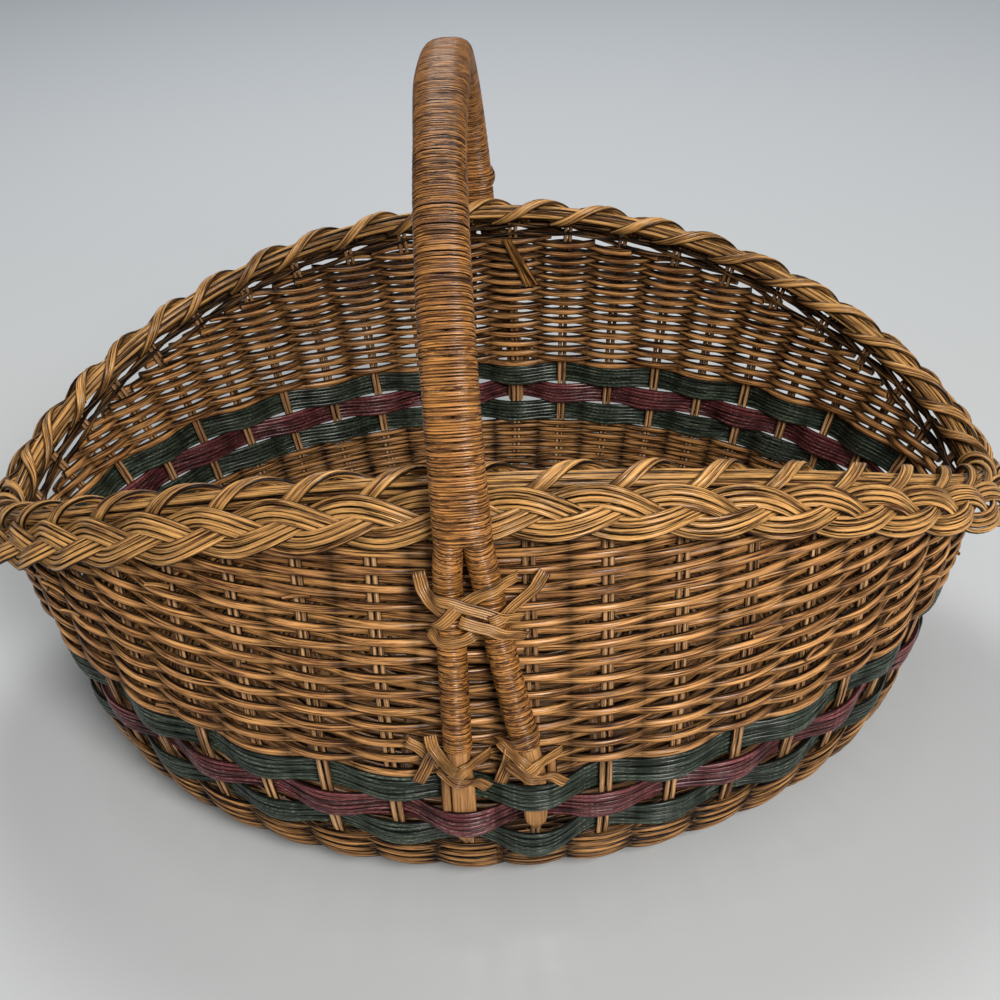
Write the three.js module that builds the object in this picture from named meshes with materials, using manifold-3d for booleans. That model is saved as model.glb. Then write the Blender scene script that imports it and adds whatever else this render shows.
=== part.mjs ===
// Oval harvest basket of woven reed, with a plaited rim, a striped band and a wrapped bow handle.
// Millimetres, Z up. X is the long way of the basket, the legs of the handle stand at -Y and +Y,
// and the origin is the middle of the flat base.

import * as THREE from 'three';
import { mergeVertices } from 'three/addons/utils/BufferGeometryUtils.js';
import Module from 'manifold-3d';

const wasm = await Module();
wasm.setup();

// Driving dimensions

const SEAT_GAP = 0.3; // air left between pieces that touch

// Middle of the wall at five levels: half the length, half the width, and the height above the
// floor at the middle of the long sides and at the two ends.
const BASE_EDGE = { halfLength: 178, halfWidth: 141, middle: 3.3, end: 3.3 };
const TURN = { halfLength: 203, halfWidth: 175, middle: 16, end: 17 };
const BELLY = { halfLength: 218, halfWidth: 185, middle: 54.5, end: 63 };
const WAIST = { halfLength: 228, halfWidth: 177, middle: 118, end: 80 };
const RIM = { halfLength: 240, halfWidth: 145, middle: 187, end: 103 };
const SADDLE = 1.5; // how sharply the rim climbs from its ends to its middle

const STAKE_PAIRS = 44;
const STAKE = { width: 5.4, thickness: 2.6 }; // two round reeds side by side

const BAND_ROW = 12.8; // height of one dyed row of the striped band
const BAND_THICKNESS = 2.2;
const WALL_THICKNESS = 5.8; // over the strands outside and inside the stakes
const WALE_HEIGHT = 8.6; // close rows under the rim
const WALE_THICKNESS = 2.7;

const CORE_RADIUS = 3.8; // bundle of reeds that the rim is worked over
const LOOP_RADIUS = 5.6; // over the stake loops that arch across the bundle
const LOOP_WIDTH = 5.6;
const LOOP_SLANT = 7; // how far a loop leans along the rim between its outside and its inside

const PLAIT = {
  turns: 15, // times that each strand crosses the plait and comes back
  swing: 8, // from the middle of the plait to the middle of a strand at its edge
  lift: 2.85, // how far strands rise and dive to pass each other
  halfWidth: 2.8, // of one strand
  halfThickness: 1,
  outward: 13.6, // middle of the plait from the middle of the bundle
  down: 4.8,
  lean: 55, // degrees that its face leans over the wall
};

const ROD_RADIUS = 4.8; // the two rods of the handle
const ROD_TIP = 1.9; // half the thickness of their shaved ends
const WRAP_THICKNESS = 1.5;
const WRAP_TURNS = 24;
const WRAP_GAP = 0.6; // between two turns of the handle's wrap
const HANDLE_TOP = 304.5; // middle of the rods at the top of the bow
const BOW_FULLNESS = 2.25; // 2 is an ellipse, more is squarer
const SPLIT_HEIGHT = 179; // where the rods part below the shared wrap
const FRONT_SHIFT = -9; // the bow stands to the left of the legs in front, less so behind,
const BACK_SHIFT = -4;
const BOW_SWAY = -4.5; // and bends further to the left between them
// Heights where a leg changes: its shaved end, where it is full again, and two bends above
const LEG = { shavedFoot: 60, shavedHead: 76, full: 87, lowBend: 112, highBend: 142 };
const LEG_BEND_EASE = 8; // a bend reaches this far up and down the leg
const LEG_WRAP_TOP = 172;
const LEG_WRAP_END = 88;
const LEG_WRAP_TURNS = 6;
const LEG_WRAP_ROOM = 0.5; // between a leg and its wrap at the corners of the wrap
const FRONT_TIPS = { left: 43, right: 50 }; // heights of the rods' ends
const BACK_TIPS = { left: 50, right: 43 };

const LASHING = { width: 4.6, thickness: 1.2 }; // flat strips of cane
// Middle of each crossing, and how far its strips reach sideways and up from there
const UPPER_LASHING = { height: 153, halfSpan: 26, rise: 9 };
const LOWER_LASHING = { height: 94, halfSpan: 13.2, rise: 6.5 };

const BASE_THICKNESS = 6.6;
const LONG_STICKS = { count: 3, width: 5, height: 2.2, spacing: 16, halfLength: 150 };
const CROSS_STICKS = { count: 5, width: 8, height: 5, spacing: 46, halfLength: 118 };

const REED = { color: 0xa87c45, roughness: 0.62 };
const STAKE_REED = { color: 0xb08a58, roughness: 0.66 };
const RIM_REED = { color: 0xb58a4b, roughness: 0.58 };
const BASE_REED = { color: 0x8d6437, roughness: 0.7 };
const CANE = { color: 0xa9763a, roughness: 0.42 };
const GREEN_REED = { color: 0x2f4136, roughness: 0.55 };
const BURGUNDY_REED = { color: 0x6f323e, roughness: 0.55 };

// Closed bodies from rings of points

const basket = new THREE.Group();

function addPiece(name, geometry, finish) {
  const material = new THREE.MeshStandardMaterial({ ...finish, metalness: 0 });
  const mesh = new THREE.Mesh(geometry, material);
  mesh.name = name;
  basket.add(mesh);
  return mesh;
}

function signedVolume(points, faces) {
  let sum = 0;
  for (const [a, b, c] of faces) {
    sum += points[a].dot(new THREE.Vector3().crossVectors(points[b], points[c]));
  }
  return sum / 6;
}

function bodyFrom(points, faces) {
  const outward = signedVolume(points, faces) > 0;
  const index = faces.flatMap(([a, b, c]) => (outward ? [a, b, c] : [a, c, b]));
  const geometry = new THREE.BufferGeometry();
  geometry.setAttribute(
    'position',
    new THREE.Float32BufferAttribute(points.flatMap((p) => p.toArray()), 3),
  );
  geometry.setIndex(index);
  geometry.computeVertexNormals();
  return geometry;
}

// Skins a row of rings that all have the same number of points. A closed row joins its last
// ring to its first, and an open row gets a flat cap at each end.
function loft(rings, closed) {
  const sides = rings[0].length;
  const points = rings.flat();
  const faces = [];
  const spans = closed ? rings.length : rings.length - 1;
  for (let i = 0; i < spans; i += 1) {
    const here = i * sides;
    const next = ((i + 1) % rings.length) * sides;
    for (let k = 0; k < sides; k += 1) {
      const k2 = (k + 1) % sides;
      faces.push([here + k, here + k2, next + k2], [here + k, next + k2, next + k]);
    }
  }
  if (!closed) {
    const last = (rings.length - 1) * sides;
    for (let k = 1; k < sides - 1; k += 1) {
      faces.push([0, k + 1, k], [last, last + k, last + k + 1]);
    }
  }
  return bodyFrom(points, faces);
}

function toSolid(geometry) {
  const bare = geometry.clone();
  bare.deleteAttribute('normal');
  bare.deleteAttribute('uv');
  const merged = mergeVertices(bare, 1e-4);
  return new wasm.Manifold(
    new wasm.Mesh({
      numProp: 3,
      vertProperties: new Float32Array(merged.attributes.position.array),
      triVerts: new Uint32Array(merged.index.array),
    }),
  );
}

function fromSolid(solid) {
  const mesh = solid.getMesh();
  const geometry = new THREE.BufferGeometry();
  geometry.setAttribute('position', new THREE.Float32BufferAttribute(mesh.vertProperties, 3));
  geometry.setIndex(Array.from(mesh.triVerts));
  geometry.computeVertexNormals();
  return geometry;
}

function boxAt(sizeX, sizeY, sizeZ, x, y, z) {
  return new THREE.BoxGeometry(sizeX, sizeY, sizeZ).translate(x, y, z);
}

// The wall: an oval whose size and height change from the base to the rim

const LEVELS = [BASE_EDGE, TURN, BELLY, WAIST, RIM];
const BELLY_LEVEL = LEVELS.indexOf(BELLY);

function blend(values, level) {
  const i = Math.min(Math.floor(level), values.length - 2);
  const t = level - i;
  const p1 = values[i];
  const p2 = values[i + 1];
  const p0 = i > 0 ? values[i - 1] : 2 * p1 - p2;
  const p3 = i < values.length - 2 ? values[i + 2] : 2 * p2 - p1;
  const straight = 2 * p1 + (p2 - p0) * t;
  const bend = (2 * p0 - 5 * p1 + 4 * p2 - p3) * t * t;
  const twist = (3 * p1 - p0 - 3 * p2 + p3) * t * t * t;
  return 0.5 * (straight + bend + twist);
}

function wallMiddle(angle, level) {
  const climb = Math.abs(Math.sin(angle)) ** SADDLE;
  const a = blend(LEVELS.map((s) => s.halfLength), level);
  const b = blend(LEVELS.map((s) => s.halfWidth), level);
  const z = blend(LEVELS.map((s) => s.end + (s.middle - s.end) * climb), level);
  return new THREE.Vector3(a * Math.cos(angle), b * Math.sin(angle), z);
}

function wallNormal(angle, level) {
  const step = 1e-3;
  const low = Math.max(level - step, 0);
  const high = Math.min(level + step, LEVELS.length - 1);
  const up = wallMiddle(angle, high).sub(wallMiddle(angle, low));
  const along = wallMiddle(angle + step, level).sub(wallMiddle(angle - step, level));
  return along.cross(up).normalize();
}

// One upright line of the wall, measured along its own curve from the belly
const uprights = new Map();

function uprightAt(angle) {
  const key = angle.toFixed(7);
  if (!uprights.has(key)) {
    const steps = 160;
    const levels = [];
    const lengths = [];
    let length = 0;
    let previous = null;
    for (let i = 0; i <= steps; i += 1) {
      const level = ((LEVELS.length - 1) * i) / steps;
      const point = wallMiddle(angle, level);
      length += previous ? point.distanceTo(previous) : 0;
      levels.push(level);
      lengths.push(length);
      previous = point;
    }
    const belly = lengths[(steps * BELLY_LEVEL) / (LEVELS.length - 1)];
    uprights.set(key, { levels, heights: lengths.map((l) => l - belly) });
  }
  return uprights.get(key);
}

function rimHeight(angle) {
  return uprightAt(angle).heights.at(-1);
}

function footHeight(angle) {
  return uprightAt(angle).heights[0];
}

function levelAt(angle, height) {
  const { levels, heights } = uprightAt(angle);
  let i = 1;
  while (i < heights.length - 1 && heights[i] < height) {
    i += 1;
  }
  const t = (height - heights[i - 1]) / (heights[i] - heights[i - 1]);
  return levels[i - 1] + (levels[i] - levels[i - 1]) * THREE.MathUtils.clamp(t, 0, 1);
}

// A point of the wall at a height along its curve, moved outward from its middle
function onWall(angle, height, outward) {
  const level = levelAt(angle, height);
  return wallMiddle(angle, level).addScaledVector(wallNormal(angle, level), outward);
}

// Angles of the stake pairs, at equal steps round the belly from the middle of the front

const ROUND_STEPS = 2880;
const roundLengths = [0];
for (let i = 1; i <= ROUND_STEPS; i += 1) {
  const from = wallMiddle(-Math.PI / 2 + (2 * Math.PI * (i - 1)) / ROUND_STEPS, BELLY_LEVEL);
  const to = wallMiddle(-Math.PI / 2 + (2 * Math.PI * i) / ROUND_STEPS, BELLY_LEVEL);
  roundLengths.push(roundLengths[i - 1] + from.distanceTo(to));
}

function angleRound(part) {
  const target = part * roundLengths[ROUND_STEPS];
  let i = 1;
  while (i < ROUND_STEPS && roundLengths[i] < target) {
    i += 1;
  }
  const t = (target - roundLengths[i - 1]) / (roundLengths[i] - roundLengths[i - 1]);
  return -Math.PI / 2 + (2 * Math.PI * (i - 1 + t)) / ROUND_STEPS;
}

const stakeAngles = Array.from({ length: STAKE_PAIRS }, (_, j) => angleRound((j + 0.5) / STAKE_PAIRS));
const LEG_STAKES = {
  frontRight: 0,
  frontLeft: STAKE_PAIRS - 1,
  backRight: STAKE_PAIRS / 2 - 1,
  backLeft: STAKE_PAIRS / 2,
};
const legStakes = Object.values(LEG_STAKES);
const TIP_CLEAR = WALL_THICKNESS / 2 + SEAT_GAP + ROD_TIP + 0.1; // rods' ends outside the wall

// Turns a distance along the wall into an angle there
function turnFor(angle, distance, level) {
  const step = 1e-3;
  const chord = wallMiddle(angle + step, level).distanceTo(wallMiddle(angle - step, level));
  return (2 * step * distance) / chord;
}

// Heights along the wall's curve of each zone

const BAND_TOP = 1.5 * BAND_ROW;
const ZONE_GAP = 0.5;
const stakeTop = (angle) => rimHeight(angle) - LOOP_RADIUS - 2.8 * ZONE_GAP;
const waleTop = (angle) => stakeTop(angle) - 1.2;
const waleFoot = (angle) => waleTop(angle) - WALE_HEIGHT;
const wallTop = (angle) => waleFoot(angle) - 3.6 * ZONE_GAP;
const wallFoot = () => BAND_TOP + ZONE_GAP;

function between(from, to, t) {
  return from + (to - from) * t;
}

// Side stakes: pairs of reeds that stand in the lower weave and carry everything above it

const STAKE_STEPS = [0, 0.5, 1];

function stakeHeights(angle) {
  const above = STAKE_STEPS.map((t) => between(wallFoot(), wallTop(angle), t));
  return [-BAND_TOP - 2, -BAND_TOP / 3, BAND_TOP / 3, ...above, stakeTop(angle)];
}

function stakeBody(angle) {
  const rings = stakeHeights(angle).map((height) => {
    const turn = turnFor(angle, STAKE.width / 2, levelAt(angle, height));
    const half = STAKE.thickness / 2;
    return [
      onWall(angle - turn, height, -half),
      onWall(angle + turn, height, -half),
      onWall(angle + turn, height, half),
      onWall(angle - turn, height, half),
    ];
  });
  return loft(rings, false);
}

function lowerWeaveBody() {
  const half = WALL_THICKNESS / 2;
  const steps = [0.34, 0.67];
  const rings = stakeAngles.map((angle) => {
    const foot = wallMiddle(angle, 0);
    const top = -BAND_TOP - ZONE_GAP;
    const heights = [...steps.map((t) => between(footHeight(angle), top, t)), top];
    const under = foot.clone().setZ(0);
    const over = foot.clone().setZ(BASE_THICKNESS);
    const outside = heights.map((h) => onWall(angle, h, half));
    const inside = heights.map((h) => onWall(angle, h, -half)).reverse();
    return [under, ...outside, ...inside, over];
  });
  return loft(rings, true);
}

let lowerWeave = toSolid(lowerWeaveBody());
for (const angle of stakeAngles) {
  lowerWeave = lowerWeave.add(toSolid(stakeBody(angle)));
}
addPiece('side_stakes_in_lower_weave', fromSolid(lowerWeave), STAKE_REED);

// Striped band: each row passes outside one stake pair and inside the next

function bandOffset(stake, row) {
  const over = (stake + row) % 2 === 0;
  const clear = STAKE.thickness / 2 + SEAT_GAP + BAND_THICKNESS / 2 + 0.1;
  if (!over) {
    return -clear;
  }
  return legStakes.includes(stake) ? TIP_CLEAR + ROD_TIP + 2 * SEAT_GAP + BAND_THICKNESS / 2 : clear;
}

function bandRowBody(row) {
  const middle = BAND_ROW * (1 - row);
  const low = middle - BAND_ROW / 2 + ZONE_GAP / 2;
  const high = middle + BAND_ROW / 2 - ZONE_GAP / 2;
  const rings = [];
  stakeAngles.forEach((angle, stake) => {
    const reach = legStakes.includes(stake) ? ROD_RADIUS + 1.2 : STAKE.width / 2 + 1.2;
    const offset = bandOffset(stake, row);
    const half = BAND_THICKNESS / 2;
    for (const side of [-1, 1]) {
      const at = angle + side * turnFor(angle, reach, levelAt(angle, middle));
      rings.push([
        onWall(at, low, offset - half),
        onWall(at, high, offset - half),
        onWall(at, high, offset + half),
        onWall(at, low, offset + half),
      ]);
    }
  });
  return loft(rings, true);
}

addPiece('upper_green_row', bandRowBody(0), GREEN_REED);
addPiece('burgundy_row', bandRowBody(1), BURGUNDY_REED);
addPiece('lower_green_row', bandRowBody(2), GREEN_REED);

// Wall weave: an oval shell that the stakes stand in, open to the inside along each pair

function wallWeaveBody() {
  const half = WALL_THICKNESS / 2;
  const groove = STAKE.thickness / 2 + SEAT_GAP;
  const rings = [];
  for (const angle of stakeAngles) {
    for (const side of [-1, 1]) {
      const edges = side < 0 ? [[1.1, -half], [0.45, groove]] : [[0.45, groove], [1.1, -half]];
      for (const [extra, inner] of edges) {
        const heights = STAKE_STEPS.map((t) => between(wallFoot(), wallTop(angle), t));
        const place = (height, outward) => {
          const distance = side * (STAKE.width / 2 + extra);
          return onWall(angle + turnFor(angle, distance, levelAt(angle, height)), height, outward);
        };
        const outside = heights.map((h) => place(h, half));
        const inside = heights.map((h) => place(h, inner)).reverse();
        rings.push([...outside, ...inside]);
      }
    }
  }
  return loft(rings, true);
}

addPiece('wall_weave', wallWeaveBody(), REED);

function topWaleBody() {
  const inner = STAKE.thickness / 2 + SEAT_GAP + 0.3;
  const rings = stakeAngles.map((angle) => [
    onWall(angle, waleFoot(angle), inner),
    onWall(angle, waleTop(angle), inner),
    onWall(angle, waleTop(angle), inner + WALE_THICKNESS),
    onWall(angle, waleFoot(angle), inner + WALE_THICKNESS),
  ]);
  return loft(rings, true);
}

addPiece('top_wale', topWaleBody(), REED);

// Rim: a bundle of reeds with a loop of each stake pair over it, and a plait of three strands

// Level directions at the rim: along it, outward from it, and the upright
function rimFrame(angle) {
  const middle = wallMiddle(angle, LEVELS.length - 1);
  const step = 1e-3;
  const ahead = wallMiddle(angle + step, LEVELS.length - 1);
  const along = ahead.sub(wallMiddle(angle - step, LEVELS.length - 1)).normalize();
  const up = new THREE.Vector3(0, 0, 1).addScaledVector(along, -along.z).normalize();
  const outward = along.clone().cross(up).normalize();
  return { middle, along, up, outward };
}

function rimPoint(angle, outward, up) {
  const frame = rimFrame(angle);
  return frame.middle.addScaledVector(frame.outward, outward).addScaledVector(frame.up, up);
}

function rimCoreBody() {
  const sides = 6;
  const rings = [];
  const half = LOOP_WIDTH / 2;
  const steps = [
    { at: -half - 1.6, radius: CORE_RADIUS },
    { at: -half, radius: LOOP_RADIUS },
    { at: half, radius: LOOP_RADIUS },
    { at: half + 1.6, radius: CORE_RADIUS },
  ];
  for (const angle of stakeAngles) {
    for (const { at, radius } of steps) {
      const ring = [];
      for (let k = 0; k < sides; k += 1) {
        const turn = (2 * Math.PI * (k + 0.5)) / sides;
        const distance = at - LOOP_SLANT * Math.cos(turn) * 0.5;
        const place = angle + turnFor(angle, distance, LEVELS.length - 1);
        ring.push(rimPoint(place, radius * Math.cos(turn), radius * Math.sin(turn)));
      }
      rings.push(ring);
    }
  }
  return loft(rings, true);
}

addPiece('rim_core_with_stake_loops', rimCoreBody(), RIM_REED);

function plaitStrandBody(strand) {
  const stepsPerTurn = 9;
  const steps = PLAIT.turns * stepsPerTurn;
  const lean = THREE.MathUtils.degToRad(PLAIT.lean);
  const rings = [];
  for (let i = 0; i < steps; i += 1) {
    const angle = angleRound(i / steps);
    const phase = (2 * Math.PI * i) / stepsPerTurn + (2 * Math.PI * strand) / 3;
    const across = PLAIT.swing * Math.sin(phase);
    const lift = -PLAIT.lift * Math.sin(2 * phase);
    const ring = [
      [-1, -1],
      [1, -1],
      [1, 1],
      [-1, 1],
    ].map(([w, t]) => {
      const x = across + w * PLAIT.halfWidth;
      const y = lift + t * PLAIT.halfThickness;
      const outward = PLAIT.outward + x * Math.cos(lean) + y * Math.sin(lean);
      const up = -PLAIT.down - x * Math.sin(lean) + y * Math.cos(lean);
      return rimPoint(angle, outward, up);
    });
    rings.push(ring);
  }
  return loft(rings, true);
}

for (let strand = 0; strand < 3; strand += 1) {
  addPiece(`rim_plait_strand_${strand + 1}`, plaitStrandBody(strand), RIM_REED);
}

// Handle: two rods that run from the band in front, over the bow, to the band behind

const STAKE_SIDE = Math.abs(onWall(stakeAngles[0], 0, 0).x);
const LEG_WRAP_RADIUS = ROD_RADIUS + LEG_WRAP_ROOM + WRAP_THICKNESS;
const LEG_CLEAR = WALL_THICKNESS / 2 + 2 * SEAT_GAP + LEG_WRAP_RADIUS;
const BOW_HALF_SPAN = RIM.halfWidth + 27.3;
const JOINED = ROD_RADIUS + SEAT_GAP / 2 + 0.1; // rods side by side
const PARTED = ROD_RADIUS + WRAP_THICKNESS + 2 * SEAT_GAP; // just below the split

// How far out the middle of the wall stands at a height above the floor, on the leg's side
function wallReach(height) {
  let low = 1;
  let high = LEVELS.length - 1;
  for (let i = 0; i < 40; i += 1) {
    const middle = (low + high) / 2;
    if (wallMiddle(Math.PI / 2, middle).z < height) {
      low = middle;
    } else {
      high = middle;
    }
  }
  return wallMiddle(Math.PI / 2, low).y;
}

// How steeply the wall leans there, averaged over the reach of a leg's bend
function wallSlope(height) {
  const above = wallReach(height + LEG_BEND_EASE);
  return (above - wallReach(height - LEG_BEND_EASE)) / (2 * LEG_BEND_EASE);
}

// Stations of one leg from its tip to the bow: distance from the middle of the pair, how much of
// the bow's shift it has, out and up, and the half thickness of the rod there
function legStations(tip) {
  const outAt = (height) => wallReach(height) + LEG_CLEAR * Math.hypot(1, wallSlope(height));
  const tipAt = (height) => wallReach(height) + TIP_CLEAR;
  const thin = ROD_TIP;
  const full = ROD_RADIUS;
  return [
    { side: STAKE_SIDE, lean: 0, out: tipAt(tip), up: tip, half: thin },
    { side: STAKE_SIDE, lean: 0, out: tipAt(LEG.shavedFoot), up: LEG.shavedFoot, half: thin },
    { side: STAKE_SIDE, lean: 0, out: tipAt(LEG.shavedHead), up: LEG.shavedHead, half: thin },
    { side: STAKE_SIDE, lean: 0.1, out: outAt(LEG.full), up: LEG.full, half: full },
    {
      side: between(STAKE_SIDE, PARTED, 0.35),
      lean: 0.4,
      out: outAt(LEG.lowBend),
      up: LEG.lowBend,
      half: full,
    },
    {
      side: between(STAKE_SIDE, PARTED, 0.75),
      lean: 0.75,
      out: Math.max(outAt(LEG.highBend), between(outAt(LEG.highBend), BOW_HALF_SPAN, 0.5)),
      up: LEG.highBend,
      half: full,
    },
    { side: PARTED, lean: 1, out: BOW_HALF_SPAN - 0.5, up: LEG_WRAP_TOP - 4, half: full },
    { side: JOINED, lean: 1, out: BOW_HALF_SPAN, up: SPLIT_HEIGHT, half: full },
  ];
}

const topShift = (frontOrBack) => (frontOrBack < 0 ? FRONT_SHIFT : BACK_SHIFT);

// The bow from the front split to the back split
function bowPoint(t) {
  const turn = Math.PI * t;
  const power = 2 / BOW_FULLNESS;
  const reach = Math.sign(Math.cos(turn)) * Math.abs(Math.cos(turn)) ** power;
  const rise = Math.abs(Math.sin(turn)) ** power;
  return {
    shift: between(FRONT_SHIFT, BACK_SHIFT, t ** 3) + BOW_SWAY * Math.sin(turn),
    out: BOW_HALF_SPAN * reach,
    up: SPLIT_HEIGHT + (HANDLE_TOP - SPLIT_HEIGHT) * rise,
  };
}

// Places cross-sections square to a path that lies in a plane of constant or slowly changing x
function sweepAlong(path, sectionAt) {
  const rings = path.map((point, i) => {
    const before = path[Math.max(i - 1, 0)];
    const after = path[Math.min(i + 1, path.length - 1)];
    const along = after.clone().sub(before).normalize();
    const side = new THREE.Vector3(1, 0, 0).addScaledVector(along, -along.x).normalize();
    const outward = side.clone().cross(along).normalize();
    return sectionAt(i).map(([x, y]) =>
      point.clone().addScaledVector(side, x).addScaledVector(outward, y),
    );
  });
  return loft(rings, false);
}

function oval(sides, halfWidth, halfThickness) {
  return Array.from({ length: sides }, (_, k) => {
    const turn = (2 * Math.PI * (k + 0.5)) / sides;
    return [halfWidth * Math.cos(turn), halfThickness * Math.sin(turn)];
  });
}

const BOW_STEPS = 22;

function rodBody(side, frontTip, backTip) {
  const front = legStations(frontTip);
  const back = legStations(backTip).reverse();
  const path = [];
  const halves = [];
  for (const s of front) {
    path.push(new THREE.Vector3(side * s.side + s.lean * topShift(-1), -s.out, s.up));
    halves.push(s.half);
  }
  for (let i = 1; i < BOW_STEPS; i += 1) {
    const { shift, out, up } = bowPoint(i / BOW_STEPS);
    path.push(new THREE.Vector3(side * JOINED + shift, -out, up));
    halves.push(ROD_RADIUS);
  }
  for (const s of back) {
    path.push(new THREE.Vector3(side * s.side + s.lean * topShift(1), s.out, s.up));
    halves.push(s.half);
  }
  return sweepAlong(path, (i) => oval(8, ROD_RADIUS, halves[i]));
}

addPiece('handle_rod_left', rodBody(-1, FRONT_TIPS.left, BACK_TIPS.left), RIM_REED);
addPiece('handle_rod_right', rodBody(1, FRONT_TIPS.right, BACK_TIPS.right), RIM_REED);

// Wrap of the bow: one flat strip wound round both rods from split to split

const bowCurve = new THREE.CatmullRomCurve3(
  Array.from({ length: 4 * BOW_STEPS + 1 }, (_, i) => {
    const { shift, out, up } = bowPoint(i / (4 * BOW_STEPS));
    return new THREE.Vector3(shift, -out, up);
  }),
);

function bowWrapBody() {
  const stepsPerTurn = 9;
  const margin = 0.02;
  const length = bowCurve.getLength();
  const pitch = (length * (1 - 2 * margin)) / WRAP_TURNS;
  const stripWidth = pitch - WRAP_GAP - 0.4;
  const innerX = 2 * ROD_RADIUS + JOINED - ROD_RADIUS + SEAT_GAP + 0.9;
  const innerY = ROD_RADIUS + SEAT_GAP + 1.05;
  const steps = (WRAP_TURNS - 1) * stepsPerTurn;
  const rings = [];
  for (let i = 0; i <= steps; i += 1) {
    const turn = (2 * Math.PI * i) / stepsPerTurn;
    const run = margin * length + stripWidth / 2 + (pitch * i) / stepsPerTurn;
    const corner = (distance, extra) => {
      const t = THREE.MathUtils.clamp(distance / length, 0, 1);
      const point = bowCurve.getPointAt(t);
      const along = bowCurve.getTangentAt(t);
      const outward = new THREE.Vector3(1, 0, 0).cross(along).normalize();
      const x = roundedBox(Math.cos(turn)) * (innerX + extra);
      const y = roundedBox(Math.sin(turn)) * (innerY + extra);
      return point.addScaledVector(outward, y).add(new THREE.Vector3(x, 0, 0));
    };
    rings.push([
      corner(run - stripWidth / 2, 0),
      corner(run + stripWidth / 2, 0),
      corner(run + stripWidth / 2, WRAP_THICKNESS),
      corner(run - stripWidth / 2, WRAP_THICKNESS),
    ]);
  }
  console.log(`bow wrap: ${WRAP_TURNS} turns, least gap ${leastGap(rings, stepsPerTurn).toFixed(2)} mm`);
  return loft(rings, false);
}

// Squares a circle a little, so that the wrap lies round two rods
function roundedBox(value) {
  return Math.sign(value) * Math.abs(value) ** 0.62;
}

function leastGap(rings, stepsPerTurn) {
  let least = Infinity;
  for (let i = 0; i + stepsPerTurn < rings.length; i += 1) {
    const here = [rings[i][1], rings[i][2]];
    const next = [rings[i + stepsPerTurn][0], rings[i + stepsPerTurn][3]];
    for (const a of here) {
      for (const b of next) {
        least = Math.min(least, a.distanceTo(b));
      }
    }
  }
  return least;
}

addPiece('bow_wrap', bowWrapBody(), CANE);

// Wrap of each leg: one flat strip wound from the lower lashing to below the split

function stationAt(side, frontOrBack, height) {
  const stations = legStations(FRONT_TIPS.left);
  let i = 1;
  while (i < stations.length - 1 && stations[i].up < height) {
    i += 1;
  }
  const from = stations[i - 1];
  const to = stations[i];
  const t = (height - from.up) / (to.up - from.up);
  const x = side * between(from.side, to.side, t);
  const lean = between(from.lean, to.lean, t) * topShift(frontOrBack);
  return new THREE.Vector3(x + lean, frontOrBack * between(from.out, to.out, t), height);
}

// The way a leg runs at a height, with its bends eased
function legDirection(side, frontOrBack, height) {
  const below = stationAt(side, frontOrBack, height - LEG_BEND_EASE);
  return stationAt(side, frontOrBack, height + LEG_BEND_EASE).sub(below).normalize();
}

function legWrapBody(name, side, frontOrBack) {
  const stepsPerTurn = 8;
  const top = LEG_WRAP_TOP - 4.4;
  const length = top - LEG_WRAP_END;
  const pitch = length / LEG_WRAP_TURNS;
  const stripWidth = pitch - WRAP_GAP - 0.4;
  const inner = ROD_RADIUS + LEG_WRAP_ROOM;
  const steps = (LEG_WRAP_TURNS - 1) * stepsPerTurn;
  const rings = [];
  for (let i = 0; i <= steps; i += 1) {
    const turn = (2 * Math.PI * (i + 0.5)) / stepsPerTurn;
    const height = LEG_WRAP_END + stripWidth / 2 + (pitch * i) / stepsPerTurn;
    // Where the leg bends inside the strip's width, the strip moves half of the bend
    const low = stationAt(side, frontOrBack, height - stripWidth / 2);
    const high = stationAt(side, frontOrBack, height + stripWidth / 2);
    const bulge = stationAt(side, frontOrBack, height).sub(low.add(high).multiplyScalar(0.5));
    const corner = (rise, extra) => {
      const point = stationAt(side, frontOrBack, height + rise).addScaledVector(bulge, 0.5);
      const along = legDirection(side, frontOrBack, height + rise);
      const across = new THREE.Vector3(1, 0, 0).addScaledVector(along, -along.x).normalize();
      const inward = across.clone().cross(along).multiplyScalar(frontOrBack).normalize();
      return point
        .addScaledVector(across, Math.cos(turn) * (inner + extra))
        .addScaledVector(inward, Math.sin(turn) * (inner + extra));
    };
    rings.push([
      corner(-stripWidth / 2, 0),
      corner(stripWidth / 2, 0),
      corner(stripWidth / 2, WRAP_THICKNESS),
      corner(-stripWidth / 2, WRAP_THICKNESS),
    ]);
  }
  const gap = leastGap(rings, stepsPerTurn).toFixed(2);
  console.log(`${name}: ${LEG_WRAP_TURNS} turns, least gap ${gap} mm`);
  return loft(rings, false);
}

for (const [name, side, frontOrBack] of [
  ['leg_wrap_front_left', -1, -1],
  ['leg_wrap_front_right', 1, -1],
  ['leg_wrap_back_left', -1, 1],
  ['leg_wrap_back_right', 1, 1],
]) {
  addPiece(name, legWrapBody(name, side, frontOrBack), CANE);
}

// Lashings: flat strips that cross over the legs and end on the wall

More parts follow.
